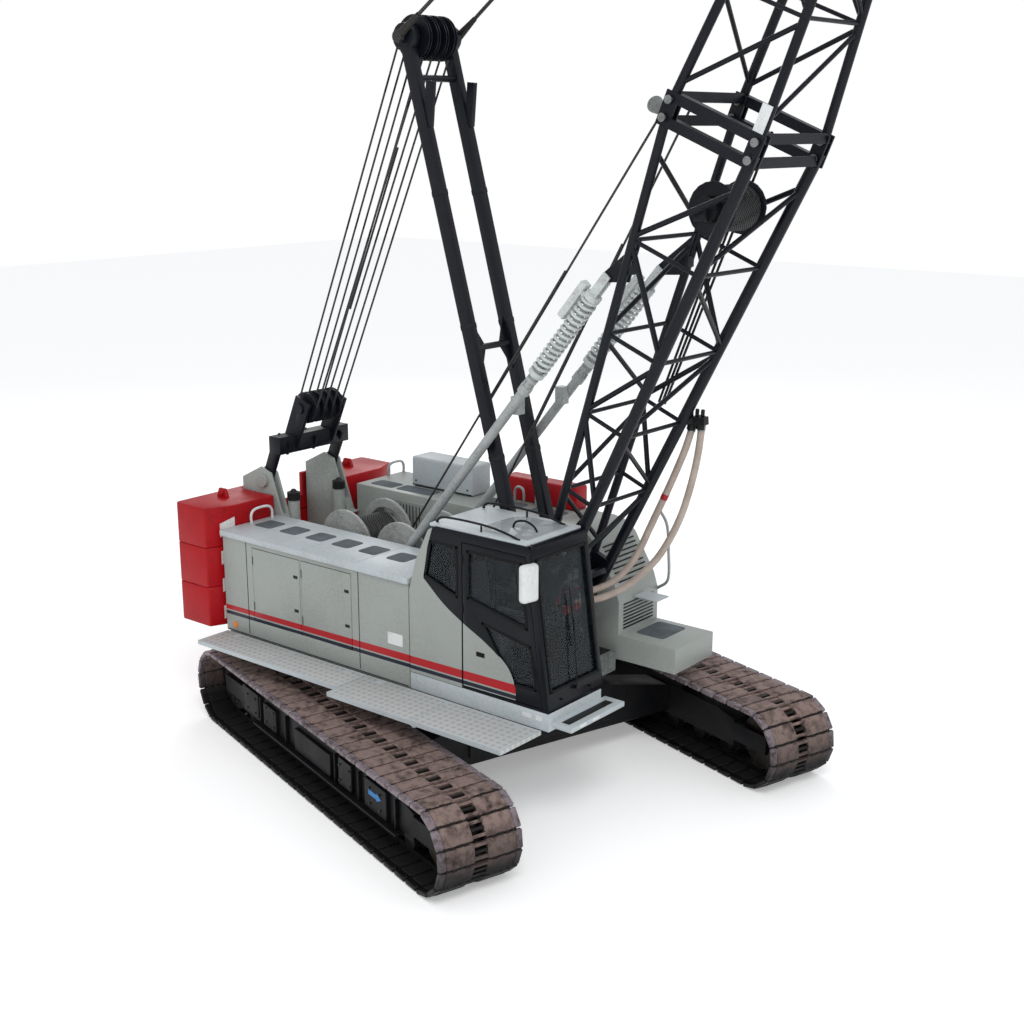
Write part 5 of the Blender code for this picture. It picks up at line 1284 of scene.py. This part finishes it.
def add_square_frame(shape, u, half):
    """Box section bars that square the boom at one station."""
    for side in (-1, 1):
        add_beam(shape, on_chord(u, side, 1), on_chord(u, side, -1), half, half)
    for face in (-1, 1):
        add_beam(shape, on_chord(u, -1, face), on_chord(u, 1, face), half, half)


shape = bmesh.new()
for side in (-1, 1):
    for face, radius in ((1, 0.048), (-1, 0.062)):
        add_rod(shape, on_chord(0.60, side, face), on_chord(base_length - 0.02, side, face), radius, 20)
    round_end = [math.radians(90 + 180 * step / 8) for step in range(9)]
    foot_plate = [(0.115 * math.cos(angle), 0.115 * math.sin(angle)) for angle in round_end]
    foot_plate += [(0.95, -0.1186), (0.95, 0.1186)]
    add_plate(shape, flat_outline(foot_plate), side * 0.415, side * 0.485)
    inner, outer = sorted((side * 0.408, side * 0.492))
    add_rod(shape, (foot_pin[0], inner, foot_pin[1]), (foot_pin[0], outer, foot_pin[1]), 0.085, 24)
    root_low, root_high = on_chord(4.30, side, 1), on_chord(4.75, side, 1)
    stop_lug = [(1.81, 5.84), (1.85, 5.75)]
    stop_lug += [(root.x + 0.03, root.z) for root in (root_low, root_high)]
    add_plate(shape, stop_lug, side * 0.476, side * 0.504)
    add_box(
        shape,
        (root_low.x - 0.03, side * 0.476, root_low.z + 0.08),
        (root_low.x + 0.10, side * 0.60, root_low.z + 0.20),
    )
add_rod(shape, along_boom(0.50, 0, -0.45), along_boom(0.50, 0, 0.45), 0.035, 16)
round_off(shape, 0.003, 1, 50.0)
add_square_frame(shape, base_length - 0.11, 0.050)
add_square_frame(shape, 0.82, 0.034)
add_lacing(shape, (1.0, 1.95, 2.85, 3.75, 4.75, 5.70), 0.029)
piece(shape, "boom_base_lattice", "boom", "black_enamel", boom_black, replaced=["boom_base"])

# hinge lugs and pins of the section joint, the hose clamp, and the winch's carrier brackets
pin_steel = coated("zinc_plated_pin", "8b8d8d", "4a4742", 0.35, 0.6, patch=6.0, metallic=0.8)
shape = bmesh.new()
for side in (-1, 1):
    for face in (-1, 1):
        low = on_chord(base_length - 0.16, side, face)
        high = on_chord(joint_u + 0.16, side, face)
        for shift in (-0.045, 0.045):
            step = Vector((0, shift, 0))
            add_beam(shape, low + step, high + step, 0.012, 0.075)
round_off(shape, 0.004, 1)
for u in (0.30, 0.42):
    add_rod(shape, along_boom(u, 0.0, -0.405), along_boom(u, 0.0, 0.405), 0.016, 12)
piece(shape, "boom_joint_lugs", "boom", "black_enamel", boom_black)
shape = bmesh.new()
for side in (-1, 1):
    for face in (-1, 1):
        for u in (base_length - 0.08, joint_u + 0.08):
            centre = on_chord(u, side, face)
            add_disc(shape, centre, 0.085, 0.030, 16)
            add_disc(shape, centre - Vector((0, 0.088, 0)), 0.004, 0.042, 16)
    foot_end = Vector((foot_pin[0], side * 0.515, foot_pin[1]))
    add_disc(shape, foot_end, 0.015, 0.045, 16)
piece(shape, "boom_joint_pins", "boom", "bare_steel", pin_steel)
shape = bmesh.new()
for x, y, z in ((2.215, 0.640, 4.14), (2.330, 0.640, 4.16)):
    add_rod(shape, (x - 0.01, y, z - 0.05), (x + 0.01, y, z + 0.10), 0.050, 12)
add_beam(shape, (2.14, 0.60, 4.20), (2.42, 0.60, 4.22), 0.050, 0.045)
add_beam(shape, (2.27, 0.585, 4.21), on_chord(2.85, 1, -1), 0.035, 0.030)
for index in range(4):
    add_rod(shape, (2.16 + 0.07 * index, 0.60, 4.24), (2.17 + 0.07 * index, 0.59, 4.34), 0.022, 12)
round_off(shape, 0.004, 1, 50.0)
piece(shape, "boom_hose_clamps", "boom", "black_enamel", latch_black)
shape = bmesh.new()
for v, y in ((0.20, 0.50), (0.14, 0.52), (0.08, 0.53)):
    route = [along_boom(u, v * u / 6, y * (1 + 0.045 * u)) for u in (2.9, 3.6, 4.4, 5.2, 6.0)]
    add_pipe(shape, route, 0.015)
piece(shape, "boom_pipes", "boom", "black_enamel", latch_black)
shape = bmesh.new()
spot = Matrix.Translation(on_chord(joint_u + 0.30, -1, -1) + Vector((-0.02, -0.056, 0)))
lean = Matrix.Rotation(math.pi / 2 - boom_angle, 4, "Y")
add_box(shape, (-0.055, -0.005, -0.13), (0.055, 0.005, 0.13), matrix=spot @ lean)
piece(shape, "boom_blank_plate", "boom", "light_grey_enamel", plate_white)
shape = bmesh.new()
for y in (-0.20, 0.0, 0.22):
    add_rod(shape, along_boom(0.50, 0, y - 0.05), along_boom(0.50, 0, y + 0.05), 0.055, 16)
    add_box(shape, (1.10, y - 0.04, 1.98), (1.18, y + 0.04, 2.06))
piece(shape, "boom_foot_couplings", "boom", "red_enamel", red_paint)


# ---------------------------------------------------------------- boom top section
# The tapering lattice above the joint, closed by the head plates and two rope sheaves.
# Its tubes are the same as the base section's.
shape = bmesh.new()
for side in (-1, 1):
    for face in (1, -1):
        add_rod(shape, on_chord(joint_u + 0.02, side, face), on_chord(last_u, side, face), 0.048, 20)
    head_plate = [
        (last_u - 0.55, -0.10),
        (head_u + 0.02, -0.12),
        (head_u + 0.12, 0.0),
        (head_u + 0.02, 0.12),
        (last_u - 0.55, 0.10),
    ]
    add_plate(shape, flat_outline(head_plate), side * 0.165, side * 0.195)
add_square_frame(shape, joint_u + 0.11, 0.050)
add_square_frame(shape, last_u - 0.05, 0.036)
add_rod(shape, along_boom(head_u, 0, -0.215), along_boom(head_u, 0, 0.215), 0.05, 20)
for y in (-0.06, 0.06):
    centre = along_boom(head_u, 0, y)
    add_disc(shape, centre, 0.030, 0.295, 40)
    add_disc(shape, centre, 0.012, 0.31, 40)
    for edge in (-0.024, 0.024):
        add_disc(shape, centre + Vector((0, edge, 0)), 0.006, 0.33, 40)
# the panels shorten as the section tapers
stations = [joint_u + 0.20]
while stations[-1] < last_u - 0.55:
    taper = 1 - 0.78 * (stations[-1] - joint_u) / (last_u - joint_u)
    stations.append(stations[-1] + 0.30 + 0.72 * taper)
stations[-1] = last_u - 0.10
add_lacing(shape, stations, 0.026)
piece(shape, "boom_top_lattice", "boom", "black_enamel", boom_black, replaced=["boom_top"])


# ---------------------------------------------------------------- boom winch
# A small winch between the base section's chords, with rope wound on its drum.
# It is bolted to a carrier across the boom.
refinish("boom_winch", "boom_winch_casting", "boom", "black_enamel", boom_black, 0.008, 2)
shape = bmesh.new()
winch = along_boom(5.30, -0.12, 0)
add_lays(shape, (winch.x, winch.z), 0.215, -0.245, 0.0288, 18, 32)
piece(shape, "boom_winch_rope", "boom", "wire_rope", rope_steel)
shape = bmesh.new()
for side in (-1, 1):
    low, high = sorted((side * 0.30, side * 0.42))
    add_rod(shape, (winch.x, low, winch.z), (winch.x, high, winch.z), 0.13, 24)
    add_rod(shape, (winch.x, high - 0.01, winch.z), (winch.x, high + side * 0.05, winch.z), 0.075, 20)
piece(shape, "boom_winch_motors", "boom", "black_enamel", latch_black)


# ---------------------------------------------------------------- rope guides and hoist lines
# Two steel guide horns on the boom's rear face, and the two lines that run to the drums.
# Each line is greased wire rope in two sliding halves, one on the deck and one on the boom.
guide_steel = coated("worn_guide_steel", "7e8180", "3e3a35", 0.4, 0.6, patch=6.0, metallic=0.6)
for node in (
    "line_rear_lower",
    "line_rear_upper",
    "line_front_lower",
    "line_front_upper",
    "boom_hoist_rope_upper",
    "boom_hoist_rope_middle",
):
    paint_node(node, rope_steel)
shape = bmesh.new()
add_rod(shape, on_chord(6.00, -1, 1), along_boom(6.00, 0.76, -0.50), 0.030, 20, 0.085)
add_rod(shape, along_boom(6.00, 0.76, -0.50), along_boom(6.00, 0.78, -0.40), 0.050, 20, 0.030)
add_beam(shape, along_boom(6.00, 0.50, 0.12), along_boom(6.00, 0.66, 0.12), 0.030, 0.030)
add_rod(shape, along_boom(6.00, 0.66, 0.155), along_boom(6.00, 0.66, 0.085), 0.055, 20)
round_off(shape, 0.004, 1, 50.0)
piece(shape, "boom_guide_horns", "boom", "bare_steel", guide_steel)


# ---------------------------------------------------------------- backstops
# Two telescopic struts that stop the boom going over backwards: a grey tube at the foot,
# a rod in it, and a coil spring between the rod's seat and the boom's lug.
strut_grey = coated("grey_strut_enamel", "a2a6a6", "5b5852", 0.38, 0.5, patch=2.4)
spring_steel = coated("grey_painted_spring", "c3c8c8", "6d6a62", 0.32, 0.5, patch=5.0)
stop_foot, stop_eye = Vector((-1.50, 0, 1.80)), Vector((1.86, 0, 5.80))
stop_way = (stop_eye - stop_foot).normalized()
stop_across = Vector((stop_way.z, 0, -stop_way.x))


def on_stop(distance, side):
    """A point on a backstop's centre line."""
    return stop_foot + stop_way * distance + Vector((0, side * 0.49, 0))


for hand, side in (("right", -1), ("left", 1)):
    refinish(
        f"backstop_tube_{hand}",
        f"backstop_tube_{hand}_weldment",
        "backstop_tubes",
        "light_grey_enamel",
        strut_grey,
        0.004,
        1,
    )
    shape = bmesh.new()
    for place, radius, long in ((3.52, 0.072, 0.10), (3.70, 0.066, 0.05), (0.55, 0.066, 0.05)):
        add_rod(shape, on_stop(place, side), on_stop(place + long, side), radius, 24)
    for index in range(6):
        around = Matrix.Rotation(math.radians(60 * index), 3, stop_way)
        out = around @ stop_across * 0.063
        add_rod(shape, on_stop(3.56, side) + out, on_stop(3.68, side) + out, 0.010, 6)
    spot = Matrix.Translation(on_stop(3.30, side) + Vector((0.0, -side * 0.09, 0.0)))
    add_box(shape, (-0.055, -0.06, -0.10), (0.055, 0.06, 0.10), matrix=spot)
    round_off(shape, 0.004, 1, 50.0)
    piece(shape, f"backstop_tube_{hand}_bands", "backstop_tubes", "light_grey_enamel", strut_grey)
    shape = bmesh.new()
    add_rod(shape, on_stop(2.02, side), on_stop(4.98, side), 0.034, 20)
    for seat in (3.80, 4.92):
        add_rod(shape, on_stop(seat, side), on_stop(seat + 0.06, side), 0.093, 24)
    for y in (-0.037, 0.037):
        step = Vector((0, y, 0))
        add_beam(shape, on_stop(4.95, side) + step, on_stop(5.26, side) + step, 0.013, 0.050)
    beside = stop_across * -0.155
    add_beam(shape, on_stop(4.52, side) + beside, on_stop(5.00, side) + beside, 0.050, 0.042)
    add_beam(shape, on_stop(4.90, side) + beside, on_stop(4.90, side) + beside * 0.2, 0.035, 0.030)
    add_disc(shape, on_stop(5.224, side), 0.062, 0.022, 16)
    round_off(shape, 0.003, 1, 50.0)
    piece(
        shape,
        f"backstop_rod_{hand}_machined",
        "backstop_rods",
        "bare_steel",
        spring_steel,
        replaced=[f"backstop_rod_{hand}"],
    )
    turns, steps = 15, 18
    coil = []
    for step in range(turns * steps + 1):
        angle = math.tau * step / steps
        out = stop_across * math.cos(angle) + Vector((0, math.sin(angle), 0))
        coil.append(on_stop(3.87 + 1.04 * step / (turns * steps), side) + out * 0.082)
    shape = bmesh.new()
    add_pipe(shape, coil, 0.018, 8, smooth=False)
    piece(shape, f"backstop_spring_{hand}", "backstop_rods", "bare_steel", spring_steel)


# ---------------------------------------------------------------- boom mast
# Two box legs in black enamel that lean back from the boom's foot, tied across, with the
# upper hoist sheaves and tapering brackets at the head.
refinish("mast", "mast_weldment", "boom_mast", "black_enamel", boom_black, 0.008, 2)
mast_angle = math.radians(105.44)
mast_way = Vector((math.cos(mast_angle), 0, math.sin(mast_angle)))
mast_foot = Vector((foot_pin[0], 0, foot_pin[1]))
mast_head = mast_foot + mast_way * 6.83
sheave_places = (-0.21, -0.07, 0.07, 0.21)
shape = bmesh.new()
for side in (-1, 1):
    centre = mast_head + Vector((0, side * 0.344, 0))
    add_disc(shape, centre, 0.072, 0.125, 32)
    add_disc(shape, centre, 0.095, 0.060, 32)
    for place in (0.8, 2.1, 3.6, 5.1):
        centre = mast_foot + mast_way * place + Vector((0, side * (0.320 + 0.0035 * place), 0))
        add_beam(shape, centre - mast_way * 0.03, centre + mast_way * 0.03, 0.056, 0.076)
for y in sheave_places:
    for edge in (-0.020, 0.020):
        add_disc(shape, mast_head + Vector((0, y + edge, 0)), 0.005, 0.245, 36)
round_off(shape, 0.003, 1, 50.0)
piece(shape, "mast_head_details", "boom_mast", "black_enamel", boom_black)

# triangular gussets where the middle tie meets the legs
shape = bmesh.new()
for side in (-1, 1):
    gusset = [(side * 0.285, -0.32), (side * 0.285, 0.32), (side * 0.12, 0.0)]
    add_plate(shape, gusset, -0.008, 0.008, "YZ")
lean = Matrix.Rotation(math.pi / 2 - mast_angle, 4, "Y")
spot = Matrix.Translation(mast_foot + mast_way * 3.35)
bmesh.ops.transform(shape, matrix=spot @ lean, verts=shape.verts)
piece(shape, "mast_tie_gussets", "boom_mast", "black_enamel", boom_black)


# ---------------------------------------------------------------- pendants
# The two stays of wire rope between the mast's head and the boom's head, with forged
# sockets at their ends and a spreader bar near the boom.
socket_steel = coated("forged_socket_steel", "2b2b2b", "4f4a44", 0.45, 0.5, metallic=0.6)
paint_node("pendants", rope_steel)
boom_head = along_boom(head_u, 0, 0)
stay_way = (boom_head - mast_head).normalized()
shape = bmesh.new()
for side in (-1, 1):
    first = mast_head + stay_way * 0.05 + Vector((0, side * 0.475, 0))
    last = boom_head - stay_way * 0.13 + Vector((0, side * 0.235, 0))
    along = (last - first).normalized()
    add_rod(shape, first, first + along * 0.32, 0.050, 16, 0.028)
    add_rod(shape, last, last - along * 0.28, 0.046, 16, 0.026)
piece(shape, "pendant_sockets", "boom_mast", "bare_steel", socket_steel)


# ---------------------------------------------------------------- bail and boom hoist rope
# The lower sheave block on two cranked links, and eight parts of wire rope that fan from
# it to the mast's head. The parts are split so that they slide past each other as it moves.
refinish("bail", "bail_weldment", "hoist_bail", "black_enamel", boom_black, 0.010, 2)
gantry_pin = Vector((-3.37, 0, 2.91))
bail_way = (mast_head - gantry_pin).normalized()
bail_rise = Vector((-bail_way.z, 0, bail_way.x))
block_reach = 1.02
shape = bmesh.new()
for side in (-1, 1):
    add_disc(shape, gantry_pin + Vector((0, side * 0.55, 0)), 0.036, 0.075, 24)
    centre = gantry_pin + bail_way * block_reach + Vector((0, side * 0.345, 0))
    add_disc(shape, centre, 0.020, 0.070, 24)
for y in sheave_places:
    for edge in (-0.026, 0.026):
        centre = gantry_pin + bail_way * block_reach + Vector((0, y + edge, 0))
        add_disc(shape, centre, 0.005, 0.200, 32)
for y in (-0.45, 0.0, 0.45):
    centre = gantry_pin + bail_way * 0.52 + Vector((0, y, 0))
    add_beam(shape, centre - bail_rise * 0.125, centre + bail_rise * 0.125, 0.018, 0.090)
round_off(shape, 0.003, 1, 50.0)
piece(shape, "bail_details", "hoist_bail", "black_enamel", boom_black)

# the parts leave each sheave's top and bottom, and spread a little towards the mast's head
span = (mast_head - gantry_pin).length
for name, body, start, end in (
    ("hoist_rope_parts_lower", "hoist_bail", 1.10, 3.60),
    ("hoist_rope_parts_middle", "hoist_rope_stage", 3.40, 5.30),
    ("hoist_rope_parts_upper", "hoist_rope", 5.10, span - 0.16),
):
    shape = bmesh.new()
    for place in sheave_places:
        for y, lift in ((place - 0.012, -0.17), (place + 0.012, 0.17)):
            ends = []
            for reach in (start, end):
                share = (reach - block_reach) / (span - block_reach)
                at = gantry_pin + bail_way * reach + bail_rise * lift * (1 + 0.25 * share)
                ends.append(at + Vector((0, y * (1 + 0.02 * share), 0)))
            add_rod(shape, *ends, 0.012, 8)
    piece(shape, name, body, "wire_rope", rope_steel)


# ---------------------------------------------------------------- hook block
# A cast hook block with two side cheeks, hung in two parts of line from the boom's head.
# The forged hook has a spring latch across its mouth.
hook_red = coated("red_hook_enamel", "8f1119", "47120f", 0.4, 0.5, patch=4.0)
refinish("hook_block", "hook_block_casting", "hook", "black_enamel", hook_red, 0.006, 2)
block = Vector((boom_head.x + 0.348, 0, boom_head.z - 1.55))
shape = bmesh.new()
for side in (-1, 1):
    for y, z in ((-0.12, 0.14), (0.12, 0.14), (-0.12, -0.34), (0.12, -0.34), (0.0, 0.0)):
        low, high = sorted((side * 0.058, side * 0.072))
        start = Vector((block.x + low, y, block.z + z))
        add_rod(shape, start, (block.x + high, y, block.z + z), 0.022, 6)
add_rod(shape, (block.x, 0.05, block.z - 0.62), (block.x, 0.115, block.z - 0.70), 0.008, 8)
for y in (-0.06, 0.06):
    add_rod(shape, (block.x, y, block.z), (block.x, y, boom_head.z - 0.02), 0.0135, 8)
piece(shape, "hook_block_bolts", "hook", "bare_steel", socket_steel)
